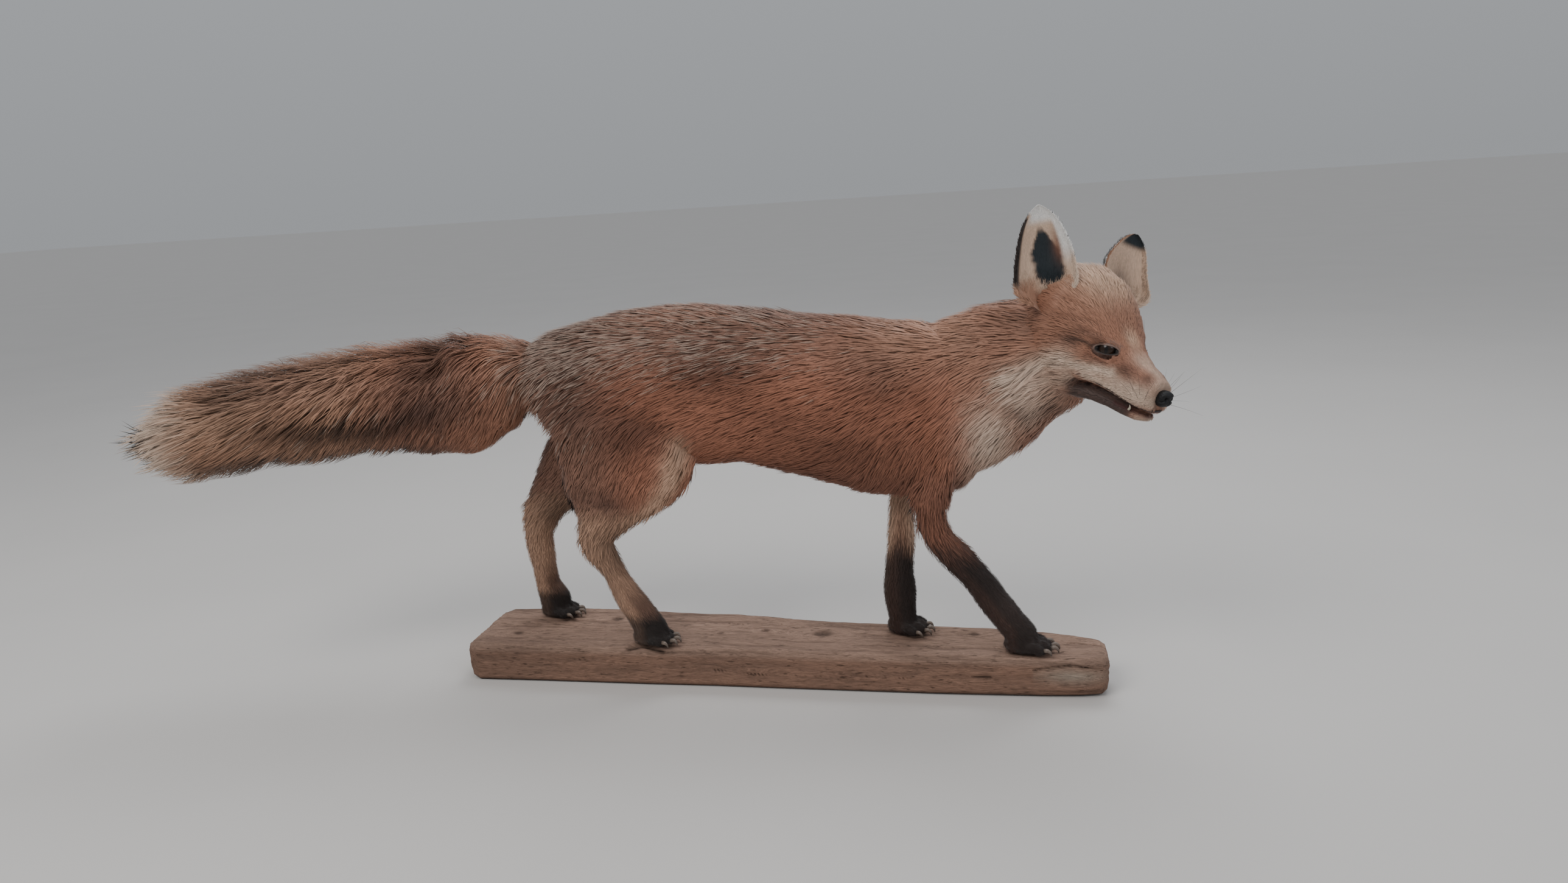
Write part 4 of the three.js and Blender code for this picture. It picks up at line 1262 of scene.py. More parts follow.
def clump_centres(roots, size):
    """Groups neighbouring roots by cubes of the size with wavering edges: (group of each, middles)."""
    waver = np.stack([noise(roots, size * 1.7, k) for k in (5, 6, 7)], 1) * size * 0.45
    cell = np.floor((roots + waver) / size).astype(np.int64)
    key = (cell[:, 0] << 40) + (cell[:, 1] << 20) + cell[:, 2]
    _, group = np.unique(key, return_inverse=True)
    count = group.max() + 1
    middle = gathered(group, roots, count) / np.bincount(group, minlength=count)[:, None]
    return group, middle


def spread_draws(rng, spread, group_of, groups):
    """Two normal draws for each tuft, one shared by its clump and one its own, with the two spreads."""
    return rng.normal(0, spread[0], groups)[group_of], rng.normal(0, spread[1], len(group_of))


def tuft_mesh(roots, normals, lies, lengths, depths, widths, tones, uv, rings, curl):
    """Tufts as closed three-sided spikes: each lies along the coat, arched from its root up to the coat's
    outer surface. tones holds a colour for root, middle and tip. The shading normals lean to the body's, as
    soft hair is lit. Returns what make_piece needs, by name."""
    count = len(roots)
    side = unit(np.cross(lies, normals))
    steps = np.linspace(0, 1, rings + 1)
    reach = np.sqrt(np.maximum(lengths ** 2 - depths ** 2, (0.3 * lengths) ** 2))
    points, tints, marks = [], [], []
    chance = np.modf(np.sin(roots @ [12.99, 78.23, 37.72]) * 43758.5)[0]
    for k, t in enumerate(steps):
        rise = depths * math.sin(t * math.pi / 2) ** 0.9 - 0.5 * (t == 0)
        middle = roots + lies * (reach * t)[:, None] + normals * rise[:, None] + curl * t ** 1.5
        tone = tones[0] + (tones[1] - tones[0]) * min(1, 2 * t) + (tones[2] - tones[1]) * max(0, 2 * t - 1)
        if k == rings:
            points.append(middle[:, None])
            tints.append(tone[:, None])
            marks.append(np.stack([np.full(count, 0.9), lengths * 0.1, chance * 50], 1)[:, None])
            continue
        wide = widths * TAPER[rings][k] / 2
        corners = [middle + side * wide[:, None], middle - side * wide[:, None],
                   middle + normals * (0.4 * wide)[:, None]]
        points.append(np.stack(corners, 1))
        tints.append(np.repeat(tone[:, None], 3, 1))
        marks.append(np.stack([np.stack([np.full(count, 0.9 * c), lengths * 0.1 * t, chance * 50], 1)
                               for c in range(3)], 1))
    points, tints, marks = (np.concatenate(v, 1).reshape(-1, 3) for v in (points, tints, marks))
    size = 3 * rings + 1
    faces = (np.arange(count)[:, None, None] * size + tuft_frame(rings)[None]).reshape(-1, 3)
    angle = np.arange(size) * 2.4
    patch = uv[:, None] + PATCH * np.stack([np.cos(angle), np.sin(angle)], 1)[None]
    faces = outward(points, faces)
    own = normals_of(points, faces)
    soft = unit(SOFTNESS * np.repeat(normals, size, axis=0) + (1 - SOFTNESS) * own)
    return {"points": points, "faces": faces, "colours": tints, "uv": patch.reshape(-1, 2), "fibre": marks,
            "normals": soft}


def loose_tufts(name, parts, slot):
    """A piece of short tufts that stand off forms other than the skin. Each part has the first eight
    values that tuft_mesh takes; tones, the seventh, is joined along its second axis."""
    whole = [np.concatenate(values, 1 if k == 6 else 0) for k, values in enumerate(zip(*parts))]
    mesh = tuft_mesh(*whole, 2, np.zeros((1, 3)))
    return make_piece(name, slot=slot, material=material("short_hair"), **mesh)


def combed(points, firm=0.2, slices=22, reach_of_slice=16.0):
    """Points of the tail's coat combed to its outline: what stands out past it is drawn in to a little
    beyond, the share `firm` of its distance. The outline is the ellipse that the tail's solids fill in each
    slice along it. The line of the tail's back is then levelled where it leaves the rump."""
    end = TAIL_LINE[-1, 0]
    cloud = node_points("tail_root", "tail_middle", "tail_tip")
    x = np.clip(points[:, 0], end + 20, None)
    bins = np.linspace(end, TAIL_START, slices)
    share = 0
    for k in (1, 2):
        away = np.abs(cloud[:, k] - tail_middle(cloud[:, 0], k))
        close = [away[np.abs(cloud[:, 0] - b) < reach_of_slice] for b in bins]
        reach = np.array([a.max() if len(a) else np.nan for a in close])
        reach = np.interp(bins, bins[~np.isnan(reach)], reach[~np.isnan(reach)])
        share = share + ((points[:, k] - tail_middle(x, k)) / np.interp(x, bins, reach)) ** 2
    share = np.sqrt(share)
    beyond = (share > 1) & (points[:, 0] < TAIL_START)
    drawn = np.where(beyond, (1 + firm * (share - 1)) / np.maximum(share, 1), 1)
    made = points.copy()
    for k in (1, 2):
        middle = tail_middle(x, k)
        made[:, k] = middle + (points[:, k] - middle) * drawn
    up = made[:, 2] - tail_middle(x, 2)
    dip = 10.5 * ramp(made[:, 0], -327, -305) * ramp(made[:, 0], -248, -286)
    crest = 2.5 * band(made[:, 0] + 332, 12)
    made[:, 2] += (dip - crest) * ramp(up, 4, 26)
    made[:, 0] = np.where(made[:, 0] < end, end + 0.5 * (made[:, 0] - end), made[:, 0])
    return made


def grounded(points, lowest=0.5):
    """Points of the legs' coat kept above the plank, at the lowest height or over it."""
    return np.stack([points[:, 0], points[:, 1], np.maximum(points[:, 2], lowest)], 1)


def tuft_tones(outer, rng, group_of, groups):
    """The colours of tufts at root, middle and tip: the coat's markings, lighter or darker by clump and by
    tuft, with silver or dark tips on their shares of the tufts."""
    shade, silver, dark = markings(outer)
    by_clump, own = spread_draws(rng, TONE_SPREAD, group_of, groups)
    shade = shade * np.clip((1 + by_clump) * (1 + own), 0.6, 1.45)[:, None]
    draw = 0.6 * rng.random(len(outer)) + 0.4 * rng.random(groups)[group_of]
    silvered = (draw < silver * FLECK)[:, None]
    tips = np.where(silvered, 0.35 * shade + 0.65 * palette()["silver"], shade * 1.06)
    tips = np.where((draw > 1 - 0.75 * dark)[:, None], shade * 0.45, tips)
    return shade * 0.85, np.where(silvered, shade * 0.72, shade), tips


def coat_piece(name, region, budget, slot, unwrap, rings=2, clump=7.0, pull=0.12, lift=(0.5, 1.03),
               material_name="guard_hair", stray=0.12, comb=None, droop=0.0, broad=1.0):
    """A piece of coat over a region of the skin, within its budget of triangles. rings is how many each
    tuft has, clump the size of the groups they lean into, pull how far they lean, lift the least and most
    share of the coat's depth that they rise to, stray how far single hairs stand out, droop how far they
    hang, and broad how wide they are. comb moves their points at the end."""
    rng = draws(sum(map(ord, name)))
    fullness = settings("fox_coat").fullness * 1.0
    count = int(budget / (6 * rings - 2) * fullness)
    skin = skin_surface()
    corners, shares = root_places(region, count, rng)
    keys = ("points", "outer", "normals", "lies", "lengths", "depths", "widths")
    found = (blended(skin[key], corners, shares) for key in keys)
    roots, outer, normals, lies, lengths, depths, widths = found
    widths = widths * broad * 1.0
    normals = unit(normals)
    lies = lies - [0, 0, droop] * (0.25 + ramp(roots[:, 0], -560, -320))[:, None]
    lies = unit(flattened(lies, normals))
    group_of, middles = clump_centres(roots, clump)
    groups = len(middles)
    by_clump, own = spread_draws(rng, TURN_SPREAD, group_of, groups)
    turn = by_clump + own
    side = np.cross(lies, normals)
    lies = unit(lies * np.cos(turn)[:, None] + side * np.sin(turn)[:, None])
    by_clump, own = spread_draws(rng, LENGTH_SPREAD, group_of, groups)
    lengths = lengths * np.clip((1 + by_clump) * (1 + own), 0.55, 1.4)
    heights = depths * (lift[0] + (lift[1] - lift[0]) * rng.random(count))
    heights = heights * (1 + stray * np.maximum(rng.normal(0, 1, count), 0) * (rng.random(count) < STRAYS))
    gather = flattened(middles[group_of] - roots, normals)
    curl = gather * pull + normals * rng.normal(0, 0.05, count)[:, None] * lengths[:, None] * 0.3
    tones = tuft_tones(outer, rng, group_of, groups)
    mesh = tuft_mesh(roots, normals, lies, lengths, heights, widths, tones, unwrap(outer), rings, curl)
    if comb:
        mesh["points"] = comb(mesh["points"])
    return make_piece(name, slot=slot, material=material(material_name), **mesh)


def framed(u, v):
    """Two coordinates fitted to the unwrap's own square, just inside its edges."""
    both = np.stack([u, v], 1)
    low, high = both.min(0), both.max(0)
    return 0.01 + 0.98 * (both - low) / np.maximum(high - low, 1e-6)


def unwrap_trunk(points):
    """Along the body, and the angle round its middle."""
    return framed(points[:, 0], np.arctan2(points[:, 1], points[:, 2] - CORE_HEIGHT))


def unwrap_tail(points):
    """Along the tail, and the angle round its core."""
    y, z = (tail_middle(points[:, 0], axis) for axis in (1, 2))
    return framed(points[:, 0], np.arctan2(points[:, 1] - y, points[:, 2] - z))


def unwrap_head(points):
    """Along the head, and the angle round it."""
    f, l, u = to_head(points).T
    return framed(f, np.arctan2(l, -(u + 20)))


def unwrap_limbs(points):
    """Four charts side by side, each with the angle round the nearest limb across and the height up."""
    away, across = [], []
    for k, name in enumerate(LIMBS):
        x, y = (points[:, axis] - limb_middle(name, points[:, 2], axis) for axis in (0, 1))
        away.append(np.hypot(x, y))
        across.append((k + 0.02 + 0.96 * (np.arctan2(y, x) / (2 * np.pi) + 0.5)) / 4)
    u = np.take_along_axis(np.array(across), np.argmin(away, 0)[None], 0)[0]
    return framed(u, points[:, 2])


FACE_BACK, NOSE_BACK = -34.0, 66.5         # where the face's short coat ends, in the head's frame
BACK_ARC = 0.75                    # radians either side of upright that count as the back


def regions():
    """The share of each region of the coat at the skin's vertices."""
    if "regions" not in WORK:
        points = skin_surface()["outer"]
        x, y, z = points.T
        local = to_head(points)
        head = on_head(points) > 0.5
        tail = (x < TAIL_START) & (z > np.interp(x, *zip(*TAIL_FLOOR)))
        legs = (z < LEG_START + 6) & ~head & ~tail
        face = head & (local[:, 0] > FACE_BACK)
        bare = bare_skin(local)
        breast = (points - BREAST) @ BREAST_SLOPE > -14
        neck = ~face & (head | breast) & ~tail & ~legs
        trunk = ~(face | neck | tail | legs)
        angle = np.arctan2(y, z - CORE_HEIGHT)
        middle = tail_middle(x, 1)
        parts = {
            "face_right": face & ~bare & (local[:, 1] < 0),
            "face_left": face & ~bare & (local[:, 1] >= 0),
            "neck": neck, "legs": legs,
            "tail_right": tail & (y < middle), "tail_left": tail & (y >= middle),
            "back": trunk & (np.abs(angle) < BACK_ARC),
            "right": trunk & (angle <= -BACK_ARC), "left": trunk & (angle >= BACK_ARC),
        }
        WORK["regions"] = {name: part.astype(float) for name, part in parts.items()}
    return WORK["regions"]


def bare_skin(local):
    """Where no hair grows: the eyes with their margins, the lips' edge and the nose; in the head's frame."""
    both = folded(local)
    gap, at = eye_gap(both)
    eye = gap < 1.7 + 1.6 * ramp(at[:, 0], 3, 9)
    lips = to_line(both, LIP) < 1.3
    return eye | lips | (local[:, 0] > NOSE_BACK)


# ---------------- eyes

GAZE = unit(np.array([0.60, 0.79, 0.09]))      # the way the left eye looks, in the head's frame
LID_SLOPE = math.radians(3)        # the inner corner lies lower than the outer one
LID_LIFT = (3.5, 3.6)              # height of the opening above and below its corners


def eye_axes(side):
    """Rows: towards the inner corner, up over the lid, and out of the eye, in the head's frame."""
    out = GAZE * [1, side, 1]
    inward = unit(np.array([GAZE[1], -side * GAZE[0], 0]))
    above = np.cross(inward, out) * -side
    inner = inward * math.cos(LID_SLOPE) - above * math.sin(LID_SLOPE)
    raised = above * math.cos(LID_SLOPE) + inward * math.sin(LID_SLOPE)
    return np.stack([inner, raised, out])


def make_eyes():
    """Two glass balls, each with a pupil upright in a dark iris and a black edge."""
    group = settings("fox_face")
    parts, tints = [], []
    for side in SIDES.values():
        points, faces = ball([0, 0, 0], 1.0, 32)
        across, high, out = points.T
        spread = np.hypot(across, high)
        bulge = 1 + 0.045 * band(np.linalg.norm(points[:, :2], axis=1), 0.55) * (out > 0)
        streak = 0.75 + 0.5 * np.abs(np.sin(11 * np.arctan2(high, across)))
        tint = even_tint(group.iris, len(points)) * streak[:, None]
        black = np.array(settings("fox_coat").black)
        over(tint, black * 0.3, ramp(np.hypot(across / 0.16, high / 0.3), 1.25, 1.0))
        over(tint, black * 0.4, ramp(spread, 0.6, 0.72))
        over(tint, black * 0.4, (out < 0).astype(float))
        place = from_head(eye_centre(side) + (points * bulge[:, None] * EYE_RADIUS) @ eye_axes(side))
        parts.append((place, outward(place, faces)))
        tints.append(tint)
    return joined_piece("eyes", parts, tints, "eye_glass", material("glass"), ["eye_right", "eye_left"])


LID_PALE = np.array([0.26, 0.17, 0.14])
LID_ROWS = [   # step out from the opening, height over the ball, share of the skin's surface, how dark
    (-0.5, -0.25, 0.0, 1.0),
    (0.0, 0.25, 0.0, 1.0),
    (0.3, 0.5, 0.0, 0.9),
    (0.7, 0.7, 0.0, 0.45),
    (1.3, 0.8, 0.1, 0.2),
    (2.1, 0.7, 0.35, 0.1),
    (2.9, 0.5, 0.6, 0.25),
    (3.8, 0.4, 0.9, 0.05),
    (4.8, 0.4, 1.0, 0.0),
    (5.8, 0.4, 1.0, 0.0),
]


def lid_curve(angle, half):
    """The eye's opening: across and up, with a flatter heavy upper lid."""
    across = half * np.cos(angle)
    s = np.sin(angle)
    high = np.where(s > 0, LID_LIFT[0] * np.abs(s) ** 0.85, -LID_LIFT[1] * np.abs(s) ** 1.15)
    return across, high


def make_eyelids():
    """Rings of lid round each eye: a black wet margin, a thick creased upper lid and a pale lower one."""
    columns = 72
    angle = np.arange(columns) * 2 * np.pi / columns
    parts, tints, lids = [], [], []
    c = palette()
    for side in SIDES.values():
        flat = np.stack(lid_curve(angle, half_opening()), 1)
        along = np.gradient(np.concatenate([flat[-2:], flat, flat[:2]]), axis=0)[2:-2]
        outside = unit(np.stack([along[:, 1], -along[:, 0]], 1))
        axes = eye_axes(side)
        rows, shades = [], []
        upper = ramp(np.sin(angle), -0.1, 0.35)
        for step, lift, share, dark in LID_ROWS:
            at = flat + outside * step * (1 + 0.15 * upper)[:, None]
            if step < 0:
                at[:, 0] *= 1 - 0.25 * np.cos(angle) ** 4
            reach = np.linalg.norm(at, axis=1)
            size = EYE_RADIUS + lift * (1 + 0.45 * upper) - 0.5 * (step > 2) * (1 - upper) * (step < 4)
            out = np.sqrt(np.maximum(size ** 2 - reach ** 2, ((0.42 if step < 0 else 0.70) * size) ** 2))
            local = eye_centre(side) + np.concatenate([at, out[:, None]], 1) @ axes
            place = from_head(local)
            if share > 0:
                sink = 0.15 if step < 3 else (-0.15 if step < 5 else -0.6)
                place += (on_skin(place, sink) - place) * share
            rows.append(place)
            lid = markings(place)[0] * 0.9
            over(lid, LID_PALE, (1 - upper) * (0.85 if 0.2 < step < 3.5 else 0.3))
            over(lid, c["umber"] * 0.8, upper * (0.85 if step < 3 else 0.3))
            over(lid, c["black"] * 0.8, dark * (0.35 + 0.65 * upper) if dark < 1 else np.ones(columns))
            shades.append(lid)
        lids.append((np.stack(rows), np.stack(shades), side))
        points, faces = np.concatenate(rows), triangles(grid_faces(len(rows), columns, True))
        a, b, d = (points[faces[:, k]] for k in range(3))
        facing = np.cross(b - a, d - a).sum(0) @ (axes[2] @ HEAD_AXES)
        parts.append((points, faces if facing > 0 else faces[:, ::-1]))
        tints.append(np.concatenate(shades))
    joined_piece("eyelids", parts, tints, "coat_dark", material("eyelid"))
    lid_coat(lids)


def lid_coat(lids, count=1500):
    """Very short hair over the lids, from their bare margins out to the coat of the face."""
    rng = draws(21)
    parts = []
    for chart, (grid, shades, side) in enumerate(lids):
        rows, columns = grid.shape[:2]
        row, column = rng.uniform(3.6, rows - 1.01, count), rng.uniform(0, columns, count)
        low, left = row.astype(int), column.astype(int)
        u, v, right = (row - low)[:, None], (column - left)[:, None], (left + 1) % columns
        root, shade = (((1 - u) * (1 - v)) * g[low, left] + u * (1 - v) * g[low + 1, left]
                       + (1 - u) * v * g[low, right] + u * v * g[low + 1, right] for g in (grid, shades))
        away, along = unit(grid[low + 1, left] - grid[low, left]), unit(grid[low, right] - grid[low, left])
        out = eye_axes(side)[2] @ HEAD_AXES
        normal = unit(np.cross(away, along))
        normal *= np.sign(normal @ out)[:, None]
        lie = away + np.array([-0.8, side * 0.35, 0]) @ HEAD_AXES + rng.normal(0, 0.12, (count, 3))
        lie = unit(flattened(lie, normal))
        shade = shade * (1 + rng.normal(0, 0.08, count))[:, None]
        far = row / rows
        uv = np.stack([0.02 + 0.96 * column / columns, 0.02 + 0.46 * far + 0.5 * chart], 1)
        parts.append((root, normal, lie, 1.6 + 1.8 * far, 0.35 + 0.3 * far, np.full(count, 0.42),
                      np.stack([shade * 0.85, shade, shade * 1.08]), uv))
    loose_tufts("coat_lids", parts, "coat_rust")


# ---------------- nose, lips, teeth, whiskers

NOSE_BLACK, NOSTRIL_SHADE, NOSE_EDGE = np.array([[0.008, 0.008, 0.009], [0.003] * 3, [0.060, 0.040, 0.034]])
TOOTH, BRISTLE = (0.62, 0.56, 0.44), (0.03, 0.025, 0.024)
NOSE_ROWS = [   # forward, top, bottom, half width, in the head's frame
    (58, -26.4, -34, 4.2), (61, -23.2, -35.4, 5.9), (64, -21.9, -36.2, 7.0), (67, -21.5, -36.0, 7.4),
    (69.5, -21.9, -35.2, 6.9), (71.4, -23, -33.7, 5.7), (72.6, -24.6, -31.6, 3.9), (73, -26.2, -30.1, 1.9),
]


def make_nose():
    """The nose pad, with comma-shaped nostrils and a groove down its middle."""
    rows = spline(NOSE_ROWS, 34)
    columns = 64
    angle = np.arange(columns)[None] * 2 * np.pi / columns
    wide = rows[:, 3:4] * np.sign(np.cos(angle)) * np.abs(np.cos(angle)) ** 0.85
    half = (rows[:, 1:2] - rows[:, 2:3]) / 2
    high = (rows[:, 1:2] + rows[:, 2:3]) / 2 + half * np.sign(np.sin(angle)) * np.abs(np.sin(angle)) ** 0.85
    local = np.stack(np.broadcast_arrays(rows[:, :1], wide, high), -1).reshape(-1, 3)
    local, faces = closed(*capped(local, len(rows), columns))
    normals = normals_of(local, faces)
    both = folded(local)
    hole = near(both, (72, 3.7, -27.6), (4, 1.9, 2.0))
    slit = band(to_line(both, [(71.5, 4.2, -29), (70, 6.6, -30.6), (67.5, 8.0, -31)]), 0.9)
    groove = band(both[:, 1], 0.7) * ramp(both[:, 2], -25, -29) * ramp(both[:, 0], 64, 68)
    brim = near(both, (71.5, 4.0, -24.6), (4, 2.6, 1.4))
    push = -3.4 * hole - 1.5 * slit - 0.8 * groove + 0.5 * brim
    local = local + normals * push[:, None]
    tint = even_tint(NOSE_BLACK, len(local))
    # painted shade in the nostril holes and slits
    over(tint, NOSTRIL_SHADE, 0.9 * np.maximum(hole, slit))
    over(tint, NOSE_EDGE, ramp(local[:, 0], 63, 59))
    return make_piece("nose_pad", from_head(local), faces, "nose_leather", material("nose"), tint, ["nose"])


LIP_FRONT = (67, 0, -40.5)
LIP_EDGES = [   # first point of LIP that it takes in, height over it, lift off the skin, radius, colour
    (0, 0.2, 0.1, 1.1, (0.022, 0.013, 0.012)),
    (3, -2.2, -0.1, 1.25, (0.080, 0.034, 0.029)),
]


def make_lips():
    """The dark edges of the lips, from one corner of the mouth round the front to the other."""
    parts, tints = [], []
    for first, drop, sink, size, shade in LIP_EDGES:
        left = LIP[first:]
        line = spline([(f, -l, u) for f, l, u in left] + [LIP_FRONT] + left[::-1], 120)
        middle = np.linspace(-1, 1, len(line))
        line[:, 2] += drop - 1.0 * band(middle, 0.25)
        line = on_skin(from_head(line), sink)
        for _ in range(6):
            line[1:-1] = (line[:-2] + line[1:-1] + line[2:]) / 3
        radii = size * (0.7 + 0.3 * band(middle, 0.5)) * (1 - 0.8 * np.abs(middle) ** 8)
        parts.append(closed(*tube(line, radii, 10, 0.8)))
        tints.append(even_tint(shade, len(parts[-1][0])))
    return joined_piece("lips", parts, tints, "coat_dark", material("lip"))


def make_teeth():
    """The two lower canines, whose tips show at the lip."""
    parts, tints = [], []
    for side in SIDES.values():
        line = spline([(43, side * 11.2, -47), (44.2, side * 12.0, -45.2), (44.4, side * 12.6, -43.6),
                       (43.8, side * 13.0, -42.2)], 10)
        parts.append(closed(*tube(from_head(line), np.linspace(1.5, 0.15, 10) ** 0.8, 12, 0.85)))
        tints.append(even_tint(TOOTH, len(parts[-1][0])))
    return joined_piece("canines", parts, tints, "tooth", material("ivory"),
                        ["lower_canine_right", "lower_canine_left"])


BRISTLES = [   # root, the way it points and its share of the longest; in the head's frame, left side
    ((47 + 5 * i, 15.5 - 1.4 * i, -31 - 3 * j), (-0.15 + 0.3 * i, 0.42, 0.75 - 0.3 * j), 0.6 + 0.15 * i)
    for i in range(3) for j in range(3)
]
BRISTLES += [((6, 26, 6), (-0.3, 0.3, 0.8), 0.4), ((3, 27, 6), (-0.45, 0.3, 0.75), 0.35)]


def make_whiskers():
    """Bristles on the lips and over the eyes."""
    rng = draws(5)
    longest = settings("fox_face").whisker / MM
    parts, tints = [], []
    for side in SIDES.values():
        for root, way, share in BRISTLES:
            way = unit(np.array(way) * [1, side, 1] + rng.normal(0, 0.06, 3))
            reach = longest * share * rng.uniform(0.75, 1.0)
            start = to_head(on_skin(from_head([np.array(root) * [1, side, 1]]), -0.8))[0]
            bend = unit(np.cross(way, [0.3, 0.2, 0.9])) * reach * rng.normal(0, 0.03)
            bend = bend + np.array([-0.06, 0, -0.06]) * reach
            t = np.linspace(0, 1, 9)[:, None]
            line = start + way * reach * t + bend * t * t * 2
            parts.append(closed(*tube(from_head(line), 0.14 * (1 - 0.82 * t[:, 0]), 5)))
            tints.append(even_tint(BRISTLE, len(parts[-1][0])))
    return joined_piece("whiskers", parts, tints, "coat_dark", material("bristle"))


# ---------------- claws


CLAW_RINGS, CLAW_SIDES = 18, 12
CLAW_PALE, CLAW_TIP, CLAW_ROOT = np.array([[0.20, 0.155, 0.125], [0.07, 0.052, 0.042], [0.05, 0.04, 0.035]])


def make_claws(name):
    """The four claws of a foot, curved down from the toes, pale at the root and darker at the tip."""
    parts, tints, nodes = [], [], [f"{name}_claw_{i}" for i in range(1, 5)]
    along = np.linspace(0, 1, CLAW_RINGS)
    ankle = LIMB_LINES[name][-1]
    for node in nodes:
        cloud = node_points(node)
        ahead = unit((cloud.mean(0) - ankle) * [1, 1, 0])
        reach = (cloud - cloud.mean(0)) @ ahead
        tip = cloud[reach > reach.max() - 0.6].mean(0)
        root = cloud[reach < reach.min() + 1.0].mean(0) - ahead * 2.5
        knuckle = root + ahead * 5.5 + [0, 0, 1.6]
        arch = (knuckle + tip) / 2 + ahead * 0.9 + [0, 0, 1.0]
        line = spline([root, knuckle, arch, tip + [0, 0, 0.4]], CLAW_RINGS)
        parts.append(closed(*tube(line, 1.75 * (1 - along ** 1.5) ** 0.8 + 0.2, CLAW_SIDES, 1.15)))
        far = np.concatenate([np.repeat(along, CLAW_SIDES), [0, 1]])
        tint = even_tint(CLAW_PALE, len(far))
        over(tint, CLAW_TIP, ramp(far, 0.3, 1.0) * 0.8)
        over(tint, CLAW_ROOT, ramp(far, 0.25, 0.0))
        tints.append(tint)
    return joined_piece(f"{name}_claws", parts, tints, "claw_horn", material("horn"), nodes)


# ---------------- plank

# Points here are the part's own, in millimetres from the plank's underside.

PLANK_ROWS = [   # x, front edge, back edge, lowest, highest, extra wear of the lower front edge
    (-341, -40, 46, 7, 35, 0), (-337, -45, 51, 2, 40, 0), (-327, -50, 56, 0, 42.5, 0),
    (-247, -50, 62, 0, 42.5, 0), (-135, -51, 53, 0, 42.5, 0), (-60, -50.5, 49, 0, 42.5, 0),
    (10, -52, 39, 0, 42.5, 0), (96, -53, 30, 0, 42.5, 0), (165, -54.5, 24, 0, 42.5, 1),
    (219, -55, 22.5, 0, 42.5, 3), (275, -56, 15, 0, 42.5, 6), (310, -55.5, 5, 0, 42.5, 9),
    (328, -53, -2, 0, 42.5, 11), (334, -48, -6, 3, 40, 10), (336, -42, -10, 10, 33, 6),
]
KNOTS = [   # x, y, reach, how far it stands out, depth of its heart; on the top
    (-14.5, 0, 5.0, 1.2, 2.0), (49, -5, 11.0, 1.2, 0.8), (-62, -7, 3.6, 0.6, 0.5),
    (-190, 24, 7.0, 0.8, 0.6), (205, 2, 5.5, 0.8, 0.5), (-290, -18, 6.0, 0.8, 0.7),
]
CRACKS = [   # curves on the plank, then width and depth
    ([(-152, -50, 40), (-140, -44, 42), (-128, -46, 42), (-116, -51, 38)], 3.2, 4.5),
    ([(264, -55, 30), (285, -55.5, 33), (306, -55, 34), (326, -52, 30), (336, -40, 26)], 1.1, 3.5),
    ([(-336, 10, 42), (-300, 6, 42), (-262, 9, 42), (-230, 5, 42)], 0.8, 2.5),
    ([(-90, 22, 42), (-30, 18, 42), (30, 21, 42), (84, 15, 42)], 0.6, 1.6),
    ([(110, -30, 42), (160, -33, 42), (215, -30, 42), (280, -34, 42)], 0.6, 1.5),
    ([(-210, -28, 42), (-160, -31, 42), (-100, -28, 42)], 0.6, 1.5),
    ([(-60, -51, 18), (20, -52, 15), (120, -54, 17), (200, -55, 13)], 0.6, 1.6),
    ([(-320, -50, 24), (-250, -51, 27), (-170, -51, 24)], 0.6, 1.4),
    ([(205, -54.5, 20), (214, -54.8, 20.5), (222, -55, 20)], 1.0, 2.0),
    ([(330, -20, 42), (300, -16, 42), (262, -18, 42)], 0.8, 2.5),
]
PLANK_GRID, QUICK_PLANK_GRID = (330, 128), (150, 72)       # rows along the plank and points round each
SPLINTER = np.array([0.36, 0.30, 0.24])        # pale wood at the split end


def plank_section(row, columns):
    """Even steps round one section of the plank, as y and z, with worn corners."""
    _, front, back, low, high, wear = row
    radii = (6, 6, 5 + wear, 5)
    corners = ((back, high, -1, -1), (front, high, 1, -1), (front, low, 1, 1), (back, low, -1, 1))
    path = []
    for (y, z, sy, sz), radius, start in zip(corners, radii, (0, 0.5, 1, 1.5)):
        turn = np.pi * (start + np.linspace(0, 0.5, 9))
        middle = np.array([y + sy * radius, z + sz * radius])
        path.append(middle + radius * np.stack([np.cos(turn), np.sin(turn)], 1))
    path = np.concatenate(path + [path[0][:1]])
    gone = np.concatenate([[0], np.cumsum(np.linalg.norm(np.diff(path, axis=0), axis=1))])
    at = np.linspace(0, gone[-1], columns, endpoint=False)
    return np.stack([np.interp(at, gone, path[:, k]) for k in range(2)], 1)


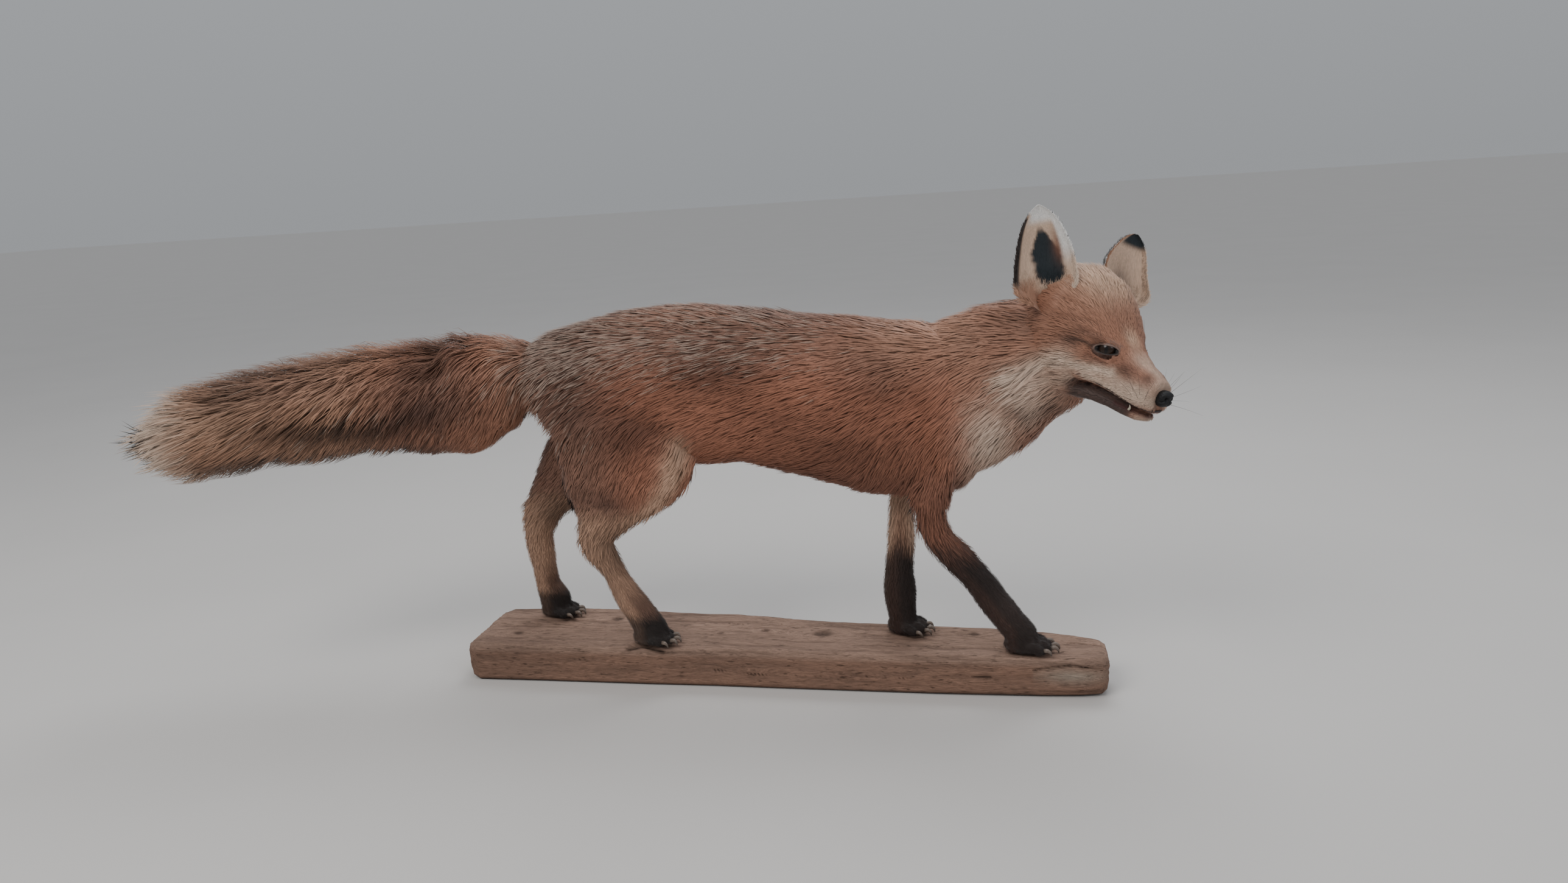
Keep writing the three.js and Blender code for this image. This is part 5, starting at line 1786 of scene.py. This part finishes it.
def wood(points):
    """The wood at points of the plank: places in its grain, which swims round the knots, the height of its
    ridges, the whole relief, and the shares of knots' hearts and of cracks."""
    bend = np.zeros(len(points))
    hearts = np.zeros(len(points))
    relief = np.zeros(len(points))
    top = ramp(points[:, 2], 30, 40)
    for kx, ky, size, lift, heart in KNOTS:
        dx, dy = points[:, 0] - kx, points[:, 1] - ky
        away = np.hypot(dx / 1.35, dy)
        swim = np.exp(-(dx / (3.2 * size)) ** 2 - (dy / (2.4 * size)) ** 2)
        bend += top * dy / np.maximum(np.abs(dy), 3) * size * 1.1 * swim
        hearts = np.maximum(hearts, top * np.exp(-(away / (0.75 * size)) ** 4))
        relief += top * (lift * band(away, 1.5 * size) - (heart + lift) * band(away, 0.45 * size))
        relief += top * 0.18 * np.sin(away * 2.6) * band(away, 1.4 * size)
    lie = np.stack([points[:, 0] * 0.05, points[:, 1] - bend, points[:, 2]], 1)
    wander = [2.5 * noise(points * [0.05, 0.4, 0.4], 2.0, seed) for seed in (1, 2)]
    wave = lie + np.stack([np.zeros(len(points)), *wander], 1)
    ridges = 0.5 * noise(wave, 2.6, 3) + 0.3 * noise(wave, 1.2, 4) + 0.25 * noise(wave, 7.0, 5)
    relief += ridges + 0.8 * noise(points * [0.3, 1, 1], 22.0, 6)
    crack = np.zeros(len(points))
    for line, width, depth in CRACKS:
        curve = spline(line, 60)
        away = np.full(len(points), 99.0)
        low, high = curve.min(0) - 12, curve.max(0) + 12
        picked = np.flatnonzero(((points > low) & (points < high)).all(1))
        jag = 1.2 * noise(points[picked], 9.0, 8)[:, None] * [0, 1, 1]
        away[picked] = to_line(points[picked] + jag, line, 60)
        crack = np.maximum(crack, band(away, width))
        relief -= depth * band(away, width)
    return wave, ridges, relief, hearts, crack


def make_plank():
    """The driftwood plank: worn corners, grain, knots, cracks and a split end, in the mesh and in colour,
    with a painted shadow along its foot.
    """
    table = np.array(PLANK_ROWS, float)
    steps, columns = PLANK_GRID
    ends = table[:3, 0], table[-3:, 0], np.linspace(-341, -327, 6), np.linspace(328, 336, 5)
    x = np.unique(np.concatenate([np.linspace(-322, 322, steps), *ends]))
    rows = np.stack([x] + [np.interp(x, table[:, 0], table[:, k]) for k in range(1, 6)], 1)
    rings = [np.concatenate([np.full((columns, 1), r[0]), plank_section(r, columns)], 1) for r in rows]
    points, faces = closed(*capped(np.concatenate(rings), len(rows), columns))
    normals = normals_of(points, faces)
    wave, ridges, relief, hearts, crack = wood(points)
    floor = ramp(points[:, 2], 1.5, 6)
    points = points + normals * (relief - 0.9)[:, None] * floor[:, None]
    points[:, 2] = np.maximum(points[:, 2], 0)
    group = settings("fox_plank")
    pale, dark, warm, black = map(np.array, (group.pale, group.dark, group.warm, group.crack))
    side = ramp(points[:, 2], 38, 30)
    tint = even_tint(pale, len(points))
    over(tint, warm, 0.8 * side)
    over(tint, dark, 0.55 * ramp(ridges, 0.15, -0.5))
    over(tint, dark, 0.35 * ramp(noise(points * [0.25, 1, 1], 34.0, 9), 0.0, 0.7))
    split = (points[:, 0] > 262) & (points[:, 1] < -30)
    over(tint, SPLINTER, 0.8 * split * near(points, (300, -55, 24), (30, 20, 7)))
    over(tint, dark * 0.6, 0.8 * hearts)
    over(tint, black, 0.95 * crack)
    # painted shadow along the plank's foot, where it meets the floor
    over(tint, black, 0.7 * ramp(points[:, 2], 5, 0))
    points = (points * MM - FOX) / MM
    return make_piece("plank", points, faces, "driftwood", material("driftwood"), tint, ["base_plank"],
                      fibre=wave)


def driftwood_material():
    """Weathered wood: fine grain along the plank, in colour and in relief, with dark flecks."""
    made, tree, shader = new_material("driftwood", Roughness=0.82, Specular_IOR_Level=0.2)
    lie = attribute_node(tree, "Fibre", "Vector")
    grain = noise_node(tree, stretched(tree, lie, (1.6, 1.5, 1.5)), 1.0, 5.0, 0.65, 0.3)
    hair = noise_node(tree, stretched(tree, lie, (2.5, 5.0, 5.0)), 1.0, 3.0, 0.6)
    fleck = noise_node(tree, stretched(tree, object_places(tree), (90.0, 420.0, 420.0)), 1.0, 2.0)
    shade = ramp_node(tree, grain, (0.3, 0.55), (0.6, 1.12))
    fine = ramp_node(tree, hair, (0.3, 0.7), (0.65, 1.05))
    specks = ramp_node(tree, fleck, (0.28, 0.45), (0.4, 1.0))
    paint(tree, shader, tint_of(tree), shade, fine, specks)
    low = bump_node(tree, grain, 0.6, 0.001)
    tree.links.new(bump_node(tree, hair, 0.4, 0.0004, low), shader.inputs["Normal"])
    return made


# ---------------- stage


FLOOR_REACH, FLOOR_DROP = 40.0, 0.0004      # metres, how far it runs and how far it lies under the plank
SENSOR = 36.0
CAMERA_AT = (0.24375, -1.0525, 0.5)
CAMERA_TURNS = ((12.05, "Z"), (76.9, "X"), (-3.8, "Z"))
LIGHTS = (   # name, place, aim, size, setting and share of its power, colour
    ("key", (-0.9, -1.6, 2.1), (0, 0, 0.25), 1.4, "key", 1.0, (1.0, 0.97, 0.93)),
    ("fill", (1.9, -1.1, 1.3), (0.1, 0, 0.25), 1.2, "fill", 1.0, (0.95, 0.97, 1.0)),
    ("top", (0.2, 0.9, 2.0), (0, 0, 0.3), 1.3, "key", 0.55, (0.96, 0.98, 1.0)),
)


def make_floor():
    """A plain matt floor just under the plank."""
    mesh = bpy.data.meshes.new("floor")
    r = FLOOR_REACH
    mesh.from_pydata([(-r, -r, 0), (r, -r, 0), (r, r, 0), (-r, r, 0)], [], [(0, 1, 2, 3)])
    made, tree, shader = new_material("plain_floor", Roughness=0.7, Specular_IOR_Level=0.2)
    soft = ramp_node(tree, noise_node(tree, object_places(tree), 3.0), (0.3, 0.97), (0.7, 1.0))
    paint(tree, shader, (*settings("fox_stage").floor, 1), soft)
    mesh.materials.append(made)
    piece = add_object("floor", mesh)
    piece.location.z = -FLOOR_DROP


def make_light(name, place, aim, size, power, shade):
    """A round area light that faces its aim."""
    data = bpy.data.lights.new(name, "AREA")
    data.shape, data.size, data.energy, data.color = "DISK", size, power, shade
    piece = add_object(name, data)
    turn = (Vector(aim) - Vector(place)).to_track_quat("-Z", "Y")
    piece.matrix_world = Matrix.LocRotScale(Vector(place), turn, None)


def make_stage():
    """Plain floor and pale surroundings, large soft lights, and the camera."""
    group = settings("fox_stage")
    make_floor()
    world = bpy.data.worlds.new("studio")
    world.use_nodes = True
    tree = world.node_tree
    background = tree.nodes["Background"]
    background.inputs["Color"].default_value = (0.85, 0.88, 0.92, 1)
    way = add_node(tree, "ShaderNodeTexCoord").outputs["Generated"]
    height = add_node(tree, "ShaderNodeSeparateXYZ", {"Vector": way}).outputs["Z"]
    glow = add_node(tree, "ShaderNodeMapRange", {"Value": height, "From Min": 0.0, "From Max": 0.9,
                                                 "To Min": 0.40, "To Max": 0.66}).outputs["Result"]
    tree.links.new(glow, background.inputs["Strength"])
    bpy.context.scene.world = world
    for name, place, aim, size, key, share, shade in LIGHTS:
        make_light(name, place, aim, size, getattr(group, key) * share, shade)
    data = bpy.data.cameras.new("camera")
    data.lens, data.sensor_width = group.lens, SENSOR
    camera = add_object("camera", data)
    first, second, third = (Matrix.Rotation(math.radians(turn), 4, axis) for turn, axis in CAMERA_TURNS)
    camera.matrix_world = Matrix.Translation(CAMERA_AT) @ (first @ second @ third)
    bpy.context.scene.camera = camera


# ---------------- operators


TRUNK_COAT = {"budget": 168000, "slot": "coat_rust", "unwrap": unwrap_trunk, "broad": 1.2,
              "lift": (0.36, 1.02)}
TAIL_COAT = {"budget": 138000, "slot": "coat_tan", "unwrap": unwrap_tail, "rings": 3, "clump": 8.0,
             "lift": (0.5, 1.0), "comb": combed, "droop": 1.1}
FACE_COAT = {"budget": 125000, "slot": "coat_rust", "unwrap": unwrap_head, "clump": 2.5, "pull": 0.2,
             "lift": (0.6, 1.0), "material_name": "short_hair", "stray": 0.2}
LEG_COAT = {"budget": 170000, "slot": "coat_tan", "unwrap": unwrap_limbs, "clump": 3.5, "pull": 0.25,
            "lift": (0.55, 1.0), "material_name": "short_hair", "stray": 0.15, "comb": grounded}


def make_coats(names, make):
    """The pieces of coat over the regions of these names, all made in the same way."""
    for name in names:
        coat_piece("coat_" + name, regions()[name], **make)


def make_body_coat():
    """Guard hair of the back and both flanks."""
    make_coats(["back"], {**TRUNK_COAT, "pull": 0.3})
    make_coats(["right", "left"], TRUNK_COAT)


def make_neck_coat():
    """Guard hair of the neck, nape and breast."""
    make_coats(["neck"], {**TRUNK_COAT, "clump": 8.0})


def make_tail_coat():
    """The long hair of the brush."""
    make_coats(["tail_right", "tail_left"], TAIL_COAT)


def make_face_coat():
    """The short hair of the face."""
    make_coats(["face_right", "face_left"], FACE_COAT)


def make_leg_coat():
    """The short hair of the legs and feet."""
    make_coats(["legs"], LEG_COAT)


EAR_TUFTS = {True: 2900, False: 2300}      # on the inner and on the outer side of an ear
RIM_SHARE = 0.72                   # of the inner side's tufts, those on its rim


def make_ear_coat():
    """Fringes of hair on the ears: along the rims, over the backs and in the notch at the root."""
    rng = draws(9)
    parts = []
    chart = 0
    for name in EARS:
        for inside in (True, False):
            count = EAR_TUFTS[inside] // 1
            t = 1 - np.sqrt(rng.random(count)) * 0.99
            u = rng.uniform(-1, 1, count)
            if inside:
                rim = rng.random(count) < RIM_SHARE
                u = np.where(rim, np.sign(u) * (1 - 0.2 * rng.random(count) ** 1.5), u * 0.7)
                t = np.where(rim, t, t * 0.35)
            depth = ear_depth(u, inside)
            here = ear_sheet(name, t, u, depth)
            above = ear_sheet(name, np.minimum(t + 0.02, 1.0), u, depth) - here
            front = unit(ear_sheet(name, t, u, depth - 1) - here) * (1 if inside else -1)
            aside = unit(ear_sheet(name, t, np.minimum(u + 0.02, 1.02), depth) - here)
            outwards = np.sign(u)[:, None] * ramp(np.abs(u), 0.6, 1.0)[:, None]
            lie = unit(unit(above) + outwards * aside * 0.6 + rng.normal(0, 0.16, (count, 3)))
            lie = unit(flattened(lie, front))
            shade = ear_colours(name, t, u, inside) * (1 + rng.normal(0, 0.12, count))[:, None]
            low = ramp(t, 0.3, 0.0)
            lengths = (3.8 + 7 * low if inside else 4.5 + 5 * low) * rng.uniform(0.6, 1.2, count)
            roots = here + front * (ear_relief(t, u) if inside else 0 * t)[:, None]
            lengths = lengths * (1 - 0.45 * ramp(t, 0.8, 1.0))
            uv = np.stack([(chart + 0.02 + 0.96 * (u + 1) / 2) / 4, 0.01 + 0.98 * t], 1)
            parts.append((roots, front, lie, lengths, rng.uniform(0.4, 1.6, count), np.full(count, 0.5),
                          np.stack([shade * 0.7, shade, shade * 1.1]), uv))
            chart += 1
    loose_tufts("coat_ears", parts, "coat_tan")


def make_all_claws():
    """The claws of all four feet."""
    for name in LIMBS:
        make_claws(name)


class FoxOperator:
    """What the fox's operators share: each makes its pieces and reports an error if it can't."""

    bl_options = {"REGISTER", "UNDO"}

    def execute(self, context):
        """Makes the pieces, and fails with the operator's label if that isn't possible."""
        try:
            type(self).make()
        except (ValueError, KeyError, RuntimeError) as problem:
            raise RuntimeError(f"{self.bl_label}: {problem}") from problem
        return {"FINISHED"}


class FOX_OT_skin(FoxOperator, bpy.types.Operator):
    """Make the skin under the coat, ears included"""
    bl_idname = "fox.skin"
    bl_label = "Skin"
    make = make_skin


class FOX_OT_body_coat(FoxOperator, bpy.types.Operator):
    """Make the coat of the back and flanks"""
    bl_idname = "fox.body_coat"
    bl_label = "Body coat"
    make = make_body_coat


class FOX_OT_neck_coat(FoxOperator, bpy.types.Operator):
    """Make the coat of the neck and breast"""
    bl_idname = "fox.neck_coat"
    bl_label = "Neck coat"
    make = make_neck_coat


class FOX_OT_tail_coat(FoxOperator, bpy.types.Operator):
    """Make the brush"""
    bl_idname = "fox.tail_coat"
    bl_label = "Brush"
    make = make_tail_coat


class FOX_OT_leg_coat(FoxOperator, bpy.types.Operator):
    """Make the short coat of the legs and feet"""
    bl_idname = "fox.leg_coat"
    bl_label = "Leg coat"
    make = make_leg_coat


class FOX_OT_face_coat(FoxOperator, bpy.types.Operator):
    """Make the short coat of the face"""
    bl_idname = "fox.face_coat"
    bl_label = "Face coat"
    make = make_face_coat


class FOX_OT_ear_coat(FoxOperator, bpy.types.Operator):
    """Make the hair of the ears"""
    bl_idname = "fox.ear_coat"
    bl_label = "Ear hair"
    make = make_ear_coat


class FOX_OT_eyes(FoxOperator, bpy.types.Operator):
    """Make the glass eyes"""
    bl_idname = "fox.eyes"
    bl_label = "Eyes"
    make = make_eyes


class FOX_OT_eyelids(FoxOperator, bpy.types.Operator):
    """Make the eyelids"""
    bl_idname = "fox.eyelids"
    bl_label = "Eyelids"
    make = make_eyelids


class FOX_OT_nose(FoxOperator, bpy.types.Operator):
    """Make the nose pad"""
    bl_idname = "fox.nose"
    bl_label = "Nose"
    make = make_nose


class FOX_OT_lips(FoxOperator, bpy.types.Operator):
    """Make the edges of the lips"""
    bl_idname = "fox.lips"
    bl_label = "Lips"
    make = make_lips


class FOX_OT_teeth(FoxOperator, bpy.types.Operator):
    """Make the lower canines"""
    bl_idname = "fox.teeth"
    bl_label = "Canines"
    make = make_teeth


class FOX_OT_whiskers(FoxOperator, bpy.types.Operator):
    """Make the whiskers"""
    bl_idname = "fox.whiskers"
    bl_label = "Whiskers"
    make = make_whiskers


class FOX_OT_claws(FoxOperator, bpy.types.Operator):
    """Make the claws"""
    bl_idname = "fox.claws"
    bl_label = "Claws"
    make = make_all_claws


class FOX_OT_plank(FoxOperator, bpy.types.Operator):
    """Make the driftwood plank"""
    bl_idname = "fox.plank"
    bl_label = "Plank"
    make = make_plank


class FOX_OT_stage(FoxOperator, bpy.types.Operator):
    """Set the floor, the lights and the camera"""
    bl_idname = "fox.stage"
    bl_label = "Stage"
    make = make_stage


OPERATORS = (FOX_OT_skin, FOX_OT_body_coat, FOX_OT_neck_coat, FOX_OT_tail_coat, FOX_OT_leg_coat,
             FOX_OT_face_coat, FOX_OT_ear_coat, FOX_OT_eyes, FOX_OT_eyelids, FOX_OT_nose, FOX_OT_lips,
             FOX_OT_teeth, FOX_OT_whiskers, FOX_OT_claws, FOX_OT_plank, FOX_OT_stage)
GROUPS = {"fox_coat": FoxCoatSettings, "fox_face": FoxFaceSettings, "fox_plank": FoxPlankSettings,
          "fox_stage": FoxStageSettings}


class FOX_PT_panel(bpy.types.Panel):
    """The fox's settings and the buttons that make its pieces"""

    bl_idname = "FOX_PT_panel"
    bl_label = "Mounted Red Fox"
    bl_space_type = "VIEW_3D"
    bl_region_type = "UI"
    bl_category = "Fox"

    def draw(self, context):
        """A box of settings for each group, then the buttons."""
        for name in GROUPS:
            group = getattr(context.scene, name)
            box = self.layout.box()
            for key in group.bl_rna.properties.keys():
                if key not in ("rna_type", "name"):
                    box.prop(group, key)
        for operator in OPERATORS:
            self.layout.operator(operator.bl_idname)


CLASSES = (*GROUPS.values(), *OPERATORS, FOX_PT_panel)


def register():
    """Registers the classes and hangs the settings on the scene."""
    for cls in CLASSES:
        bpy.utils.register_class(cls)
    for name, cls in GROUPS.items():
        setattr(bpy.types.Scene, name, PointerProperty(type=cls))


def unregister():
    """Takes off what register() put on, in the other order."""
    for name in GROUPS:
        delattr(bpy.types.Scene, name)
    for cls in reversed(CLASSES):
        bpy.utils.unregister_class(cls)


def main():
    """Registers the add-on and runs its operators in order."""
    register()
    for operator in OPERATORS:
        space, action = operator.bl_idname.split(".")
        if getattr(getattr(bpy.ops, space), action)() != {"FINISHED"}:
            raise RuntimeError(f"{operator.bl_label} wasn't made")


if __name__ == "__main__":
    main()
